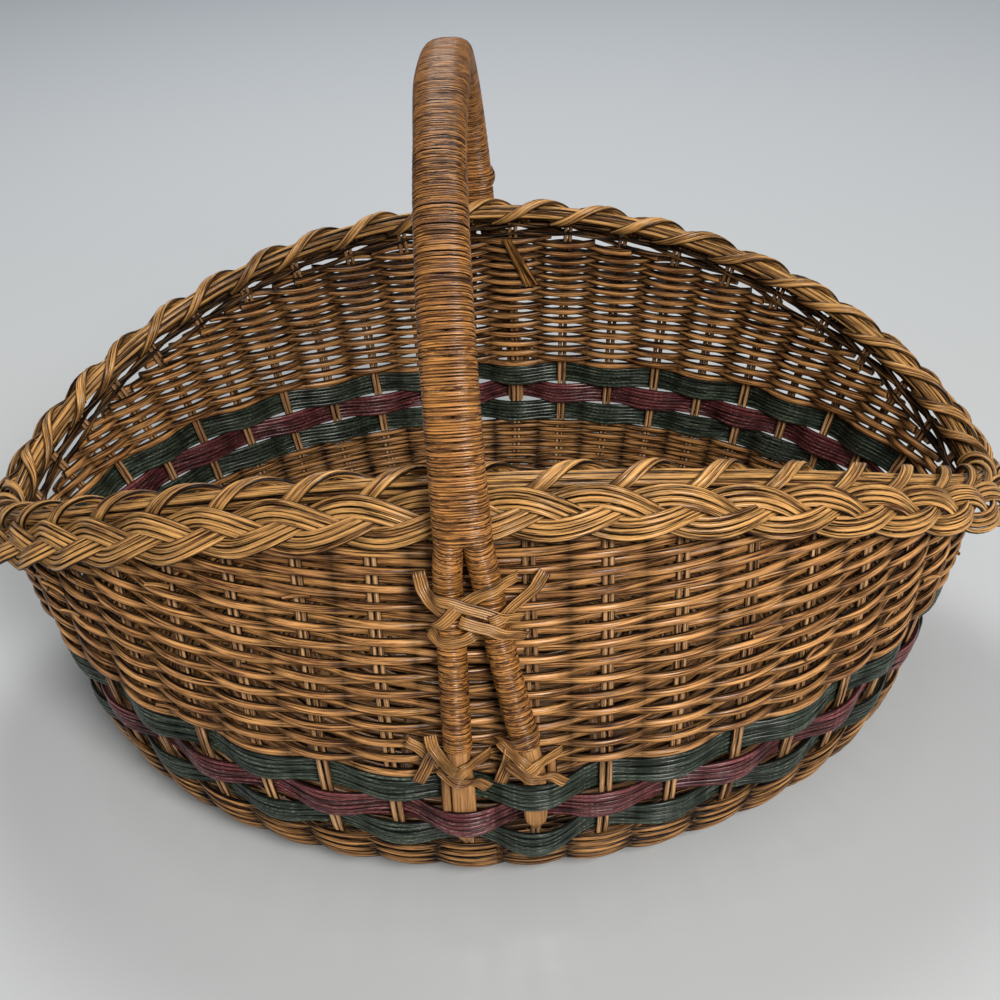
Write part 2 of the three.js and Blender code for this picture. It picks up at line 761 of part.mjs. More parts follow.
// A strip from one side of a leg, or of both legs, to the other, rising or falling on its way
function lashingBody({ frontOrBack, centre, height, halfSpan, rise, layer, legs }) {
  const steps = 12;
  const clearWall = WALL_THICKNESS / 2 + SEAT_GAP + LASHING.thickness / 2;
  const taut = legs.length > 1; // laid straight across both legs
  const lift = LASHING.thickness / 2 + (taut ? SEAT_GAP : 1.2 * SEAT_GAP);
  const legSlope = Math.abs(legDirection(legs[0], frontOrBack, height).y);
  const climb = taut ? 0.4 * rise * legSlope : 0; // crossing on a leaning leg takes more room
  const layerLift = layer * (LASHING.thickness + (taut ? 2 : 6) * SEAT_GAP + Math.abs(climb));
  const path = [];
  for (let i = 0; i <= steps; i += 1) {
    const t = (2 * i) / steps - 1;
    const x = centre + t * halfSpan;
    const z = height + t * rise;
    const flat = wallReach(z) + clearWall;
    let out = flat;
    for (const leg of legs) {
      const middle = stationAt(leg, frontOrBack, z);
      const overGap = legs.length > 1 && leg * (x - middle.x) < 0;
      const away = overGap ? 0 : Math.abs(x - middle.x);
      const slope = legDirection(leg, frontOrBack, z).y;
      const reach = (LEG_WRAP_RADIUS + lift) / Math.sqrt(1 - slope ** 2);
      const top = Math.abs(middle.y) + reach;
      const shoulder = reach + 5.5;
      if (away < shoulder) {
        const share = Math.min(1, Math.max(0, (shoulder - away) / (shoulder - reach * 0.62)));
        out = Math.max(out, flat + (top - flat) * share);
      }
    }
    out += layerLift * (1 - t ** 6);
    path.push(new THREE.Vector3(x, frontOrBack * out, z));
  }
  return stripBody(path, frontOrBack);
}

function stripBody(path, frontOrBack) {
  const rings = path.map((point, i) => {
    const before = path[Math.max(i - 1, 0)];
    const after = path[Math.min(i + 1, path.length - 1)];
    const along = after.clone().sub(before).normalize();
    const facing = new THREE.Vector3(0, frontOrBack, 0).addScaledVector(
      along,
      -along.y * frontOrBack,
    );
    const outward = facing.normalize();
    const across = along.clone().cross(outward).normalize();
    return [
      [-1, -1],
      [1, -1],
      [1, 1],
      [-1, 1],
    ].map(([w, t]) =>
      point
        .clone()
        .addScaledVector(across, (w * LASHING.width) / 2)
        .addScaledVector(outward, (t * LASHING.thickness) / 2),
    );
  });
  return loft(rings, false);
}

for (const [face, frontOrBack] of [['front', -1], ['back', 1]]) {
  const upper = UPPER_LASHING;
  const lower = LOWER_LASHING;
  const middleAt = (side, height) => stationAt(side, frontOrBack, height).x;
  const centre = (middleAt(-1, upper.height) + middleAt(1, upper.height)) / 2;
  for (const [way, layer] of [[1, 0], [-1, 1]]) {
    const word = way > 0 ? 'rising' : 'falling';
    addPiece(
      `upper_lashing_${face}_${word}`,
      lashingBody({ frontOrBack, centre, ...upper, rise: way * upper.rise, layer, legs: [-1, 1] }),
      CANE,
    );
    for (const [name, side] of [['left', -1], ['right', 1]]) {
      const legCentre = side * (lower.halfSpan + 2.4) + 0.15 * topShift(frontOrBack);
      addPiece(
        `lower_lashing_${face}_${name}_${word}`,
        lashingBody({
          frontOrBack,
          centre: legCentre,
          ...lower,
          rise: way * lower.rise,
          layer,
          legs: [side],
        }),
        CANE,
      );
    }
  }
}

// Base: split cross sticks with long sticks through them, let into an oval of close weave

function stickPlaces({ count, spacing }) {
  return Array.from({ length: count }, (_, i) => (i - (count - 1) / 2) * spacing);
}

const STICK_FLOOR = 1.7; // weave left under the sticks
const STICK_MIDDLE = STICK_FLOOR + CROSS_STICKS.height / 2;

function crossStickSolid(x) {
  const { width, height, halfLength } = CROSS_STICKS;
  const reach = halfLength * Math.sqrt(1 - (x / (BASE_EDGE.halfLength * 1.02)) ** 2);
  let stick = toSolid(boxAt(width, 2 * reach, height, x, 0, STICK_MIDDLE));
  for (const y of stickPlaces(LONG_STICKS)) {
    const slot = boxAt(
      width + 2,
      LONG_STICKS.width + 2 * SEAT_GAP,
      LONG_STICKS.height + 2 * SEAT_GAP,
      x,
      y,
      STICK_MIDDLE,
    );
    stick = stick.subtract(toSolid(slot));
  }
  return { stick, reach };
}

function baseWeaveSolid() {
  const steps = 60;
  const outline = [];
  for (let i = 0; i < steps; i += 1) {
    const angle = angleRound(i / steps);
    const edge = wallMiddle(angle, 0);
    const inward = new THREE.Vector2(edge.x, edge.y).setLength(SEAT_GAP + 0.9);
    outline.push(new THREE.Vector2(edge.x - inward.x, edge.y - inward.y));
  }
  const plate = new THREE.ExtrudeGeometry(new THREE.Shape(outline), {
    depth: BASE_THICKNESS,
    bevelEnabled: false,
  });
  let solid = toSolid(plate);
  const room = 2 * SEAT_GAP + 0.1;
  for (const x of stickPlaces(CROSS_STICKS)) {
    const { reach } = crossStickSolid(x);
    const depth = BASE_THICKNESS - STICK_FLOOR + 2;
    const groove = boxAt(
      CROSS_STICKS.width + room,
      2 * reach + room,
      depth,
      x,
      0,
      STICK_FLOOR - SEAT_GAP + depth / 2,
    );
    solid = solid.subtract(toSolid(groove));
  }
  for (const y of stickPlaces(LONG_STICKS)) {
    const floor = STICK_MIDDLE - LONG_STICKS.height / 2 - SEAT_GAP;
    const depth = BASE_THICKNESS - floor + 2;
    const groove = boxAt(
      2 * LONG_STICKS.halfLength + room,
      LONG_STICKS.width + room,
      depth,
      0,
      y,
      floor + depth / 2,
    );
    solid = solid.subtract(toSolid(groove));
  }
  return solid;
}

addPiece('base_weave', fromSolid(baseWeaveSolid()), BASE_REED);
stickPlaces(CROSS_STICKS).forEach((x, i) => {
  addPiece(`base_cross_stick_${i + 1}`, fromSolid(crossStickSolid(x).stick), BASE_REED);
});
stickPlaces(LONG_STICKS).forEach((y, i) => {
  const { width, height, halfLength } = LONG_STICKS;
  addPiece(
    `base_long_stick_${i + 1}`,
    boxAt(2 * halfLength, width, height, 0, y, STICK_MIDDLE),
    BASE_REED,
  );
});

export default basket;
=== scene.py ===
"""Looks of the oval harvest basket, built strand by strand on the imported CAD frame."""

import logging
import math
from dataclasses import dataclass
from enum import Enum
from typing import Any, Callable, Sequence

import bpy
import numpy as np
from mathutils import Matrix

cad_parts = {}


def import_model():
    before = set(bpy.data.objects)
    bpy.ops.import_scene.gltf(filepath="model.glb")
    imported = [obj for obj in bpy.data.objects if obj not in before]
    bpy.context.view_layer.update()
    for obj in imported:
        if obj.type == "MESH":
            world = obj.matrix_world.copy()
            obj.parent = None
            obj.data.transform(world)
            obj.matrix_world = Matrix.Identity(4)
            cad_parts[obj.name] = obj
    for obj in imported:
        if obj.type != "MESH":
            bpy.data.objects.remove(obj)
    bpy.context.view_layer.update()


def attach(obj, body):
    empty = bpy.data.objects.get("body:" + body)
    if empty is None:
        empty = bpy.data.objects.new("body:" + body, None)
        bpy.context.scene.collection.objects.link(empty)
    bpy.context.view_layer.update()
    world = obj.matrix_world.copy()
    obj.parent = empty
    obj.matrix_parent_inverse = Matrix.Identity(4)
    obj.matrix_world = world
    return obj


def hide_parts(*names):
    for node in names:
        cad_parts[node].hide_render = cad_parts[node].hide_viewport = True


Array = np.ndarray
Rgb = tuple[int, int, int]
log = logging.getLogger("basket")

MM = 1e-3  # the shapes below are worked out in millimetres
BODY = "root"
STAKE_PAIRS = 44
STEP = 1e-3  # for slopes, in radians or levels
AHEAD_X = np.array([1.0, 0.0, 0.0])
UP = np.array([0.0, 0.0, 1.0])


class Look(Enum):
    """The finishes: the material's name and the name of its slot."""

    REED = ("stained_reed", "reed")
    STAKE = ("stake_reed", "stake_reed")
    RIM = ("rim_reed", "rim_reed")
    BASE = ("base_reed", "base_reed")
    CANE = ("glossy_cane", "cane")
    TIE = ("tie_cane", "cane")
    ROD = ("bare_rod", "rim_reed")
    GREEN = ("green_reed", "green_reed")
    BURGUNDY = ("burgundy_reed", "burgundy_reed")


class Place(Enum):
    """A place with a sign for its side and a word for the names of pieces."""

    @property
    def word(self) -> str:
        """The place in a piece's name."""
        return self.name.lower()


class Face(Place):
    """The two long sides of the basket."""

    FRONT = -1
    BACK = 1


class Side(Place):
    """The two rods of the handle."""

    LEFT = -1
    RIGHT = 1


# Nodes


def _maths(operation: str, swapped: bool = False) -> Callable[..., "Value"]:
    """Makes an operator of Value.

    Args:
        operation: what the Math node does.
        swapped: whether the value comes second.

    Returns:
        The operator, which adds the node.
    """

    def operator(value: "Value", other: Any = 0.0) -> "Value":
        """Adds the Math node."""
        pair = (other, value) if swapped else (value, other)
        return value.nodes.maths(operation, *pair)

    return operator


@dataclass(frozen=True)
class Value:
    """One output socket of a node tree; sums and products on it add Math nodes."""

    nodes: "NodeTree"
    socket: Any

    __add__ = __radd__ = _maths("ADD")
    __sub__ = _maths("SUBTRACT")
    __rsub__ = _maths("SUBTRACT", swapped=True)
    __mul__ = __rmul__ = _maths("MULTIPLY")
    __truediv__ = _maths("DIVIDE")
    size = _maths("ABSOLUTE")

    def clamped(self) -> "Value":
        """The value kept between 0 and 1."""
        return self.nodes.maths("ADD", self, 0.0, clamp=True)

    def above(self, low: float, high: float) -> "Value":
        """0 below low, 1 above high, and a straight rise between."""
        return ((self - low) / (high - low)).clamped()


@dataclass(frozen=True)
class Added:
    """A node just added, with its outputs in reach."""

    nodes: "NodeTree"
    node: Any

    def out(self, key: int | str = 0) -> Value:
        """One output socket, wrapped."""
        return Value(self.nodes, self.node.outputs[key])


@dataclass(frozen=True)
class NodeTree:
    """Adds nodes to one shader or geometry tree."""

    tree: Any

    def add(
        self,
        kind: str,
        values: dict[int | str, Any] | None = None,
        settings: dict[str, Any] | None = None,
    ) -> Added:
        """Adds one node.

        Args:
            kind: Blender's node type.
            values: numbers, colours or wrapped sockets for its inputs, by name or place.
            settings: its properties, set before the inputs.

        Returns:
            The node with its sockets.
        """
        node = self.tree.nodes.new(kind)
        for key, value in (settings or {}).items():
            setattr(node, key, value)
        for key, value in (values or {}).items():
            self.feed(node.inputs[key], value)
        return Added(self, node)

    def feed(self, socket: Any, value: Any) -> None:
        """Links a wrapped socket, or sets the input's own value.

        Args:
            socket: the input.
            value: a node, a wrapped socket or a plain value.
        """
        if isinstance(value, Added):
            value = value.out()
        if isinstance(value, Value):
            self.tree.links.new(value.socket, socket)
        else:
            socket.default_value = value

    def maths(self, operation: str, first: Any, second: Any, clamp: bool = False) -> Value:
        """One Math node."""
        settings = {"operation": operation, "use_clamp": clamp}
        return self.add("ShaderNodeMath", {0: first, 1: second}, settings).out()

    def vector(self, operation: str, first: Any, second: Any) -> Value:
        """One Vector Math node."""
        values = {0: first, 1: second}
        return self.add("ShaderNodeVectorMath", values, {"operation": operation}).out()

    def joined(self, x: Any, y: Any, z: Any) -> Value:
        """Three numbers as a vector."""
        return self.add("ShaderNodeCombineXYZ", {0: x, 1: y, 2: z}).out()

    def parted(self, vector: Any) -> Added:
        """A vector as three numbers."""
        return self.add("ShaderNodeSeparateXYZ", {0: vector})

    def mix(self, factor: Any, first: Any, second: Any) -> Value:
        """Mixes two colours."""
        values = {0: factor, 6: first, 7: second}
        return self.add("ShaderNodeMix", values, {"data_type": "RGBA"}).out(2)

    def noise(self, at: Value, scale: float, detail: float, rough: float = 0.5) -> Value:
        """Noise between 0 and 1 at the places of a vector."""
        values = {"Vector": at, "Scale": scale, "Detail": detail, "Roughness": rough}
        return self.add("ShaderNodeTexNoise", values).out()

    def attribute(self, name: str, output: str = "Fac") -> Value:
        """Reads a mesh attribute in a material."""
        return self.add("ShaderNodeAttribute", None, {"attribute_name": name}).out(output)

    def read(self, name: str, kind: str = "FLOAT") -> Value:
        """Reads a named attribute in a geometry tree."""
        values = {"Name": name}
        return self.add("GeometryNodeInputNamedAttribute", values, {"data_type": kind}).out()

    def store(self, geometry: Any, name: str, value: Value, kind: str = "FLOAT") -> Added:
        """Stores a named attribute on the points of a geometry."""
        values = {"Geometry": geometry, "Name": name, "Value": value}
        return self.add("GeometryNodeStoreNamedAttribute", values, {"data_type": kind})


def new_material(name: str) -> tuple[Any, NodeTree, Any]:
    """Makes a material.

    Args:
        name: its name.

    Returns:
        The material, its tree and the inputs of its Principled shader.
    """
    material = bpy.data.materials.new(name)
    material.use_nodes = True
    shader = material.node_tree.nodes["Principled BSDF"]
    return material, NodeTree(material.node_tree), shader.inputs


def colour(*tone: int) -> tuple[float, ...]:
    """A colour written as 0 to 255, made linear and opaque."""
    parts = [c / 255 for c in tone]
    return *(c / 12.92 if c <= 0.04045 else ((c + 0.055) / 1.055) ** 2.4 for c in parts), 1.0


# Finishes


@dataclass(frozen=True)
class ReedFinish:
    """Stained reed or cane: streaked along its length and blotched, with painted shade where it
    dives and in the crevices between reeds.
    """

    light: Rgb
    middle: Rgb
    dark: Rgb
    # deep tone for the dark lines, the real stain and the painted shade
    stain: Rgb = (14, 6, 4)
    # pale flecks on the light streaks: part wear of the dye, part painted sheen
    wear_and_sheen: Rgb = (196, 186, 160)
    wear_and_sheen_share: float = 0.0
    gloss: float = 0.55
    rough: float = 0.42
    grain: float = 0.75
    soft: float = 0.08
    lines: float = 0.9
    blotch: float = 0.45
    # share of painted shade in the crevices between reeds
    crevice: float = 1.0
    ridge: float = 0.8
    ridge_height: float = 0.0004
    specular: float = 0.12
    coat_rough: float = 0.24

    def build(self, name: str) -> Any:
        """Makes the material.

        Args:
            name: its name.

        Returns:
            The material, reading the attributes grain, tint and crown of a strand, and the one that
            carries its stain and painted shade.
        """
        material, nodes, inputs = new_material(name)
        tones = (self.light, self.middle, self.dark, self.stain)
        light, middle, dark, deep = (colour(*tone) for tone in tones)
        tint = nodes.attribute("tint")
        # Painted shade: the sides of a reed turned to its neighbours, read from crown, go dark as
        # the crevices between reeds.
        crevice_shade = (0.75 - nodes.attribute("crown").size()).above(0.0, 0.45)
        stain = (nodes.attribute("stain") + crevice_shade * self.crevice).clamped()
        place = nodes.attribute("grain", "Vector")
        apart = nodes.joined(tint * 31.0, tint * 17.0, tint * 7.0)

        def pattern(along: float, across: float, detail: float, rough: float, way: str) -> Value:
            """Noise drawn out along the reed, with its waves for each metre."""
            at = nodes.vector("MULTIPLY", place, (along, across, across))
            return nodes.noise(nodes.vector(way, at, apart), 1.0, detail, rough)

        fibre = pattern(55.0, 1500.0, 3.0, 0.62, "ADD")
        blotch = pattern(42.0, 170.0, 3.0, 0.6, "ADD")
        line = pattern(38.0, 1500.0, 4.0, 0.66, "SUBTRACT")
        streak = fibre.above(0.5 - self.soft, 0.5 + self.soft)
        groove = (1.0 - line.above(0.36, 0.46)) * self.lines
        layers = [
            (1.0 - self.grain, middle),
            (line.above(0.54, 0.64) * 0.75, light),
            (blotch.above(0.42, 0.7) * self.blotch, nodes.mix(0.55, dark, deep)),
            (((tint - 0.5) * 0.6 + 0.1).clamped(), light),
            (((0.5 - tint) * 0.7).clamped(), dark),
            (groove, deep),
        ]
        # Pale flecks on the light streaks, away from stain and shade: part wear, part painted
        # sheen.
        if self.wear_and_sheen_share > 0:
            speck_at = nodes.vector("MULTIPLY", place, (700.0, 2600.0, 2600.0))
            speck = nodes.noise(speck_at, 1.0, 1.0).above(0.5, 0.72)
            wear_and_sheen = speck * streak * (1.0 - stain) * self.wear_and_sheen_share
            layers.append((wear_and_sheen.clamped(), colour(*self.wear_and_sheen)))
        # Painted shade, with some real stain: toward the deep tone where a strand dives, lies in
        # shadow or sits in a crevice.
        layers.append(((stain * (0.75 + 0.5 * (1.0 - streak))).clamped(), deep))
        base = nodes.mix(streak, dark, light)
        for share, tone in layers:
            base = nodes.mix(share, base, tone)
        nodes.feed(inputs["Base Color"], base)
        rough = self.rough + 0.3 * (fibre - 0.5) + 0.2 * groove
        nodes.feed(inputs["Roughness"], rough.clamped())
        inputs["Specular IOR Level"].default_value = self.specular
        # The coat is taken off where there is stain, painted shade or a dark line.
        coat_share = (1.0 - stain) * (1.0 - groove) * (0.35 + 0.65 * line.above(0.42, 0.6))
        nodes.feed(inputs["Coat Weight"], (coat_share * self.gloss).clamped())
        inputs["Coat Roughness"].default_value = self.coat_rough
        bumps = {"Strength": self.ridge, "Distance": self.ridge_height, "Height": fibre - groove}
        nodes.feed(inputs["Normal"], nodes.add("ShaderNodeBump", bumps))
        return material


FINISHES = {
    Look.REED: ReedFinish((232, 170, 102), (160, 100, 56), (68, 33, 17)),
    Look.STAKE: ReedFinish((222, 174, 122), (174, 124, 80), (104, 62, 34)),
    Look.RIM: ReedFinish(
        (224, 168, 98), (156, 102, 54), (66, 33, 15), grain=0.9, lines=1.0, blotch=0.3
    ),
    Look.BASE: ReedFinish((160, 112, 62), (128, 86, 46), (70, 42, 22)),
    Look.CANE: ReedFinish(
        (212, 145, 72), (136, 79, 35), (54, 22, 11),
        gloss=1.0, rough=0.3, grain=0.8, blotch=0.5, crevice=0.85, lines=0.6,
    ),
    Look.TIE: ReedFinish(
        (212, 154, 86), (150, 98, 48), (74, 37, 17),
        gloss=0.9, rough=0.36, grain=0.85, blotch=0.4, lines=0.8,
    ),
    Look.ROD: ReedFinish(
        (190, 140, 88), (158, 112, 68), (116, 74, 42),
        gloss=0.2, grain=0.6, soft=0.14, blotch=0.5, lines=0.35,
    ),
    Look.GREEN: ReedFinish(
        (56, 68, 54), (22, 31, 25), (9, 14, 10), (8, 11, 9), (160, 164, 146), 0.5, 0.7, 0.36
    ),
    Look.BURGUNDY: ReedFinish(
        (128, 60, 62), (72, 27, 31), (38, 13, 16), (20, 8, 9), (186, 154, 146), 0.5, 0.7, 0.36
    ),
}


# Lines


def unit(vectors: Array) -> Array:
    """Vectors made one long."""
    return vectors / np.maximum(np.linalg.norm(vectors, axis=-1, keepdims=True), 1e-12)


def smooth(t: Array) -> Array:
    """An eased step from 0 to 1."""
    t = np.clip(t, 0.0, 1.0)
    return t * t * (3 - 2 * t)


def raised(wave: Array, power: Array | float) -> Array:
    """A wave with its size raised to a power and its sign kept."""
    return np.sign(wave) * np.abs(wave) ** power


def run_of(line: Array) -> Array:
    """Length run along a line at each of its points."""
    steps = np.linalg.norm(np.diff(line, axis=0), axis=1)
    return np.concatenate([[0.0], np.cumsum(steps)])


def points_at(at: Array, run: Array, line: Array) -> Array:
    """Values of a line's rows at lengths run along it."""
    return np.stack([np.interp(at, run, line[:, k]) for k in range(line.shape[1])], -1)


def wobble(rng: np.random.Generator, parts: Array, size: float, waves: Sequence[int]) -> Array:
    """A slow, closed unevenness along a row.

    Args:
        rng: random source.
        parts: shares of the way round.
        size: about how large it is.
        waves: how many waves there are round the whole row.

    Returns:
        One value for each part.
    """
    total = np.zeros_like(parts)
    for wave in waves:
        total += np.sin(2 * np.pi * (wave * parts + rng.random())) * rng.uniform(0.4, 1.0)
    return total * size / math.sqrt(len(waves))


# The wall's form


@dataclass(frozen=True)
class Level:
    """One level of the wall: its half sizes, and its height in the middle and at the ends."""

    half_length: float
    half_width: float
    middle: float
    end: float


@dataclass
class WallForm:
    """The oval wall, from the base edge to the saddle-shaped rim."""

    levels: tuple[Level, ...] = (
        Level(178, 141, 3.3, 3.3),
        Level(203, 175, 16, 17),
        Level(218, 185, 54.5, 63),
        Level(228, 177, 118, 80),
        Level(240, 145, 187, 103),
    )
    saddle: float = 1.5
    belly: int = 2
    loop_depth: float = 5.6
    loop_gap: float = 1.4
    wale_gap: float = 1.2
    wale_height: float = 8.6

    def __post_init__(self) -> None:
        """Measures the belly's line, so that stakes stand at equal steps round it."""
        self.top = float(len(self.levels) - 1)
        self._turns = np.linspace(-np.pi / 2, 1.5 * np.pi, 2881)
        self._lengths = run_of(self.middle(self._turns, np.full_like(self._turns, self.belly)))
        self._grid = np.linspace(0, self.top, 161)
        above_foot = np.linspace(1.0, self.top, 400)
        self._legs_line = self.middle(np.full_like(above_foot, np.pi / 2), above_foot)

    def _blend(self, values: Sequence[float], level: Array) -> Array:
        """A smooth curve through one value for each level.

        Args:
            values: the values.
            level: where the curve is read.

        Returns:
            The curve's values.
        """
        v = np.asarray(values, float)
        v = np.concatenate([[2 * v[0] - v[1]], v, [2 * v[-1] - v[-2]]])
        i = np.clip(np.floor(level).astype(int), 0, len(values) - 2)
        t = level - i
        p0, p1, p2, p3 = v[i], v[i + 1], v[i + 2], v[i + 3]
        bend = (2 * p0 - 5 * p1 + 4 * p2 - p3) * t**2
        return 0.5 * (2 * p1 + (p2 - p0) * t + bend + (3 * p1 - p0 - 3 * p2 + p3) * t**3)

    def middle(self, angle: Array, level: Array) -> Array:
        """Middle of the wall's thickness.

        Args:
            angle: turn of the oval, from +X.
            level: 0 at the base edge to 4 at the rim.

        Returns:
            The points, with x, y and z last.
        """
        angle, level = np.broadcast_arrays(np.asarray(angle, float), np.asarray(level, float))
        climb = np.abs(np.sin(angle)) ** self.saddle
        ends = self._blend([s.end for s in self.levels], level)
        rise = self._blend([s.middle - s.end for s in self.levels], level)
        a = self._blend([s.half_length for s in self.levels], level)
        b = self._blend([s.half_width for s in self.levels], level)
        return np.stack([a * np.cos(angle), b * np.sin(angle), ends + climb * rise], -1)

    def _along(self, angle: Array, level: Array) -> Array:
        """A short way along the wall, two steps of the angle."""
        return self.middle(angle + STEP, level) - self.middle(angle - STEP, level)

    def normal(self, angle: Array, level: Array) -> Array:
        """Outward direction of the wall.

        Args:
            angle: turn of the oval.
            level: level of the wall.

        Returns:
            The unit vectors.
        """
        high = self.middle(angle, np.minimum(level + STEP, self.top))
        low = self.middle(angle, np.maximum(level - STEP, 0))
        return unit(np.cross(self._along(angle, level), high - low))

    def per_mm(self, angle: float, level: float = 2.5) -> float:
        """The turn that goes one millimetre along the wall."""
        return 2 * STEP / float(np.linalg.norm(self._along(angle, level)))

    def angle_round(self, part: Array) -> Array:
        """Angle at a share of the way round the belly, from the middle of the front."""
        at = np.asarray(part, float) % 1.0 * self._lengths[-1]
        return np.interp(at, self._lengths, self._turns)

    def around(self, count: int) -> tuple[Array, Array]:
        """Even shares of the way round, and their angles."""
        parts = np.arange(count) / count
        return parts, self.angle_round(parts)

    def stake_angle(self, stake: int) -> float:
        """Angle of a stake pair."""
        return self.angle_round(np.array([(stake + 0.5) / STAKE_PAIRS]))[0]

    def heights(self, angles: Array) -> Array:
        """Height along the wall's own curve above the belly.

        Args:
            angles: turns of the oval.

        Returns:
            One row for each angle, with a value for each level of the grid.
        """
        points = self.middle(angles[:, None], self._grid[None])
        steps = np.linalg.norm(np.diff(points, axis=1), axis=2)
        run = np.concatenate([np.zeros((len(angles), 1)), np.cumsum(steps, axis=1)], axis=1)
        at_belly = (len(self._grid) - 1) * self.belly // (len(self.levels) - 1)
        return run - run[:, at_belly : at_belly + 1]

    def on_wall(
        self, angles: Array, heights: Array, outward: Array | float = 0.0
    ) -> tuple[Array, Array]:
        """Points at heights along the wall's curve.

        Args:
            angles: turns of the oval, or one for all the heights.
            heights: height of each point above the belly, along the curve.
            outward: how far the points stand out from the wall's middle.

        Returns:
            The points, and the wall's outward directions there.
        """
        angles = np.broadcast_to(angles, heights.shape)
        table = self.heights(angles)
        found = [np.interp(h, row, self._grid) for h, row in zip(heights, table)]
        level = np.stack(found, -1)
        normal = self.normal(angles, level)
        shift = np.broadcast_to(outward, level.shape)[:, None]
        return self.middle(angles, level) + normal * shift, normal

    def foot_height(self, angles: Array) -> Array:
        """Height of the base edge along the wall's curve, below the belly."""
        return self.heights(angles)[:, 0]

    def stake_top(self, angles: Array) -> Array:
        """Where the stakes turn over the rim bundle."""
        return self.heights(angles)[:, -1] - self.loop_depth - self.loop_gap

    def wale_foot(self, angles: Array) -> Array:
        """Lower edge of the close rows under the rim."""
        return self.stake_top(angles) - self.wale_gap - self.wale_height

    def rim_frame(self, angles: Array) -> tuple[Array, Array, Array]:
        """Middle of the rim, with its directions up and outward.

        Args:
            angles: turns of the oval.

        Returns:
            The points, the ways up and the ways out.
        """
        level = np.full_like(angles, self.top)
        along = unit(self._along(angles, level))
        up = unit(UP - along * along[:, 2:3])
        return self.middle(angles, level), up, unit(np.cross(along, up))

    def rim_point(self, angles: Array, outward: Array | float, up: Array | float) -> Array:
        """Points beside the rim's middle line.

        Args:
            angles: turns of the oval.
            outward: how far out from the line.
            up: how far above it.

        Returns:
            The points.
        """
        middle, over, out = self.rim_frame(angles)
        outward = np.broadcast_to(outward, angles.shape)[:, None]
        return middle + out * outward + over * np.broadcast_to(up, angles.shape)[:, None]

    def reach(self, height: Array) -> Array:
        """How far out the wall's middle stands on the legs' side, at heights above the floor."""
        return np.interp(height, self._legs_line[:, 2], self._legs_line[:, 1])


# Strands


@dataclass
class Strand:
    """Middle line of one reed in millimetres, the way its flat side faces, its tone, and its stain
    with painted shade.
    """

    points: Array
    facing: Array
    tint: Array | float
    # darkening toward the deep tone: real stain in some places, painted shade where the reed dives
    # or lies in shadow
    stain: Array | float
    size: Array | float = 1.0
    closed: bool = False


@dataclass(frozen=True)
class Section:
    """Cross-section of a reed in millimetres."""

    half_width: float
    half_thickness: float
    sides: int = 6


def linked(name: str, data: Any) -> Any:
    """Adds an object to the scene, at the origin.

    Args:
        name: its name.
        data: its mesh, lamp or camera.

    Returns:
        The object.
    """
    made = bpy.data.objects.new(name, data)
    bpy.context.scene.collection.objects.link(made)
    return made


def write(mesh: Any, name: str, values: Array) -> None:
    """Stores an attribute on a mesh's points.

    Args:
        mesh: the mesh.
        name: the attribute's name.
        values: one number or one vector for each point.
    """
    kind, key = ("FLOAT", "value") if values.ndim == 1 else ("FLOAT_VECTOR", "vector")
    attribute = mesh.attributes.new(name, kind, "POINT")
    attribute.data.foreach_set(key, values.astype(np.float32).ravel())


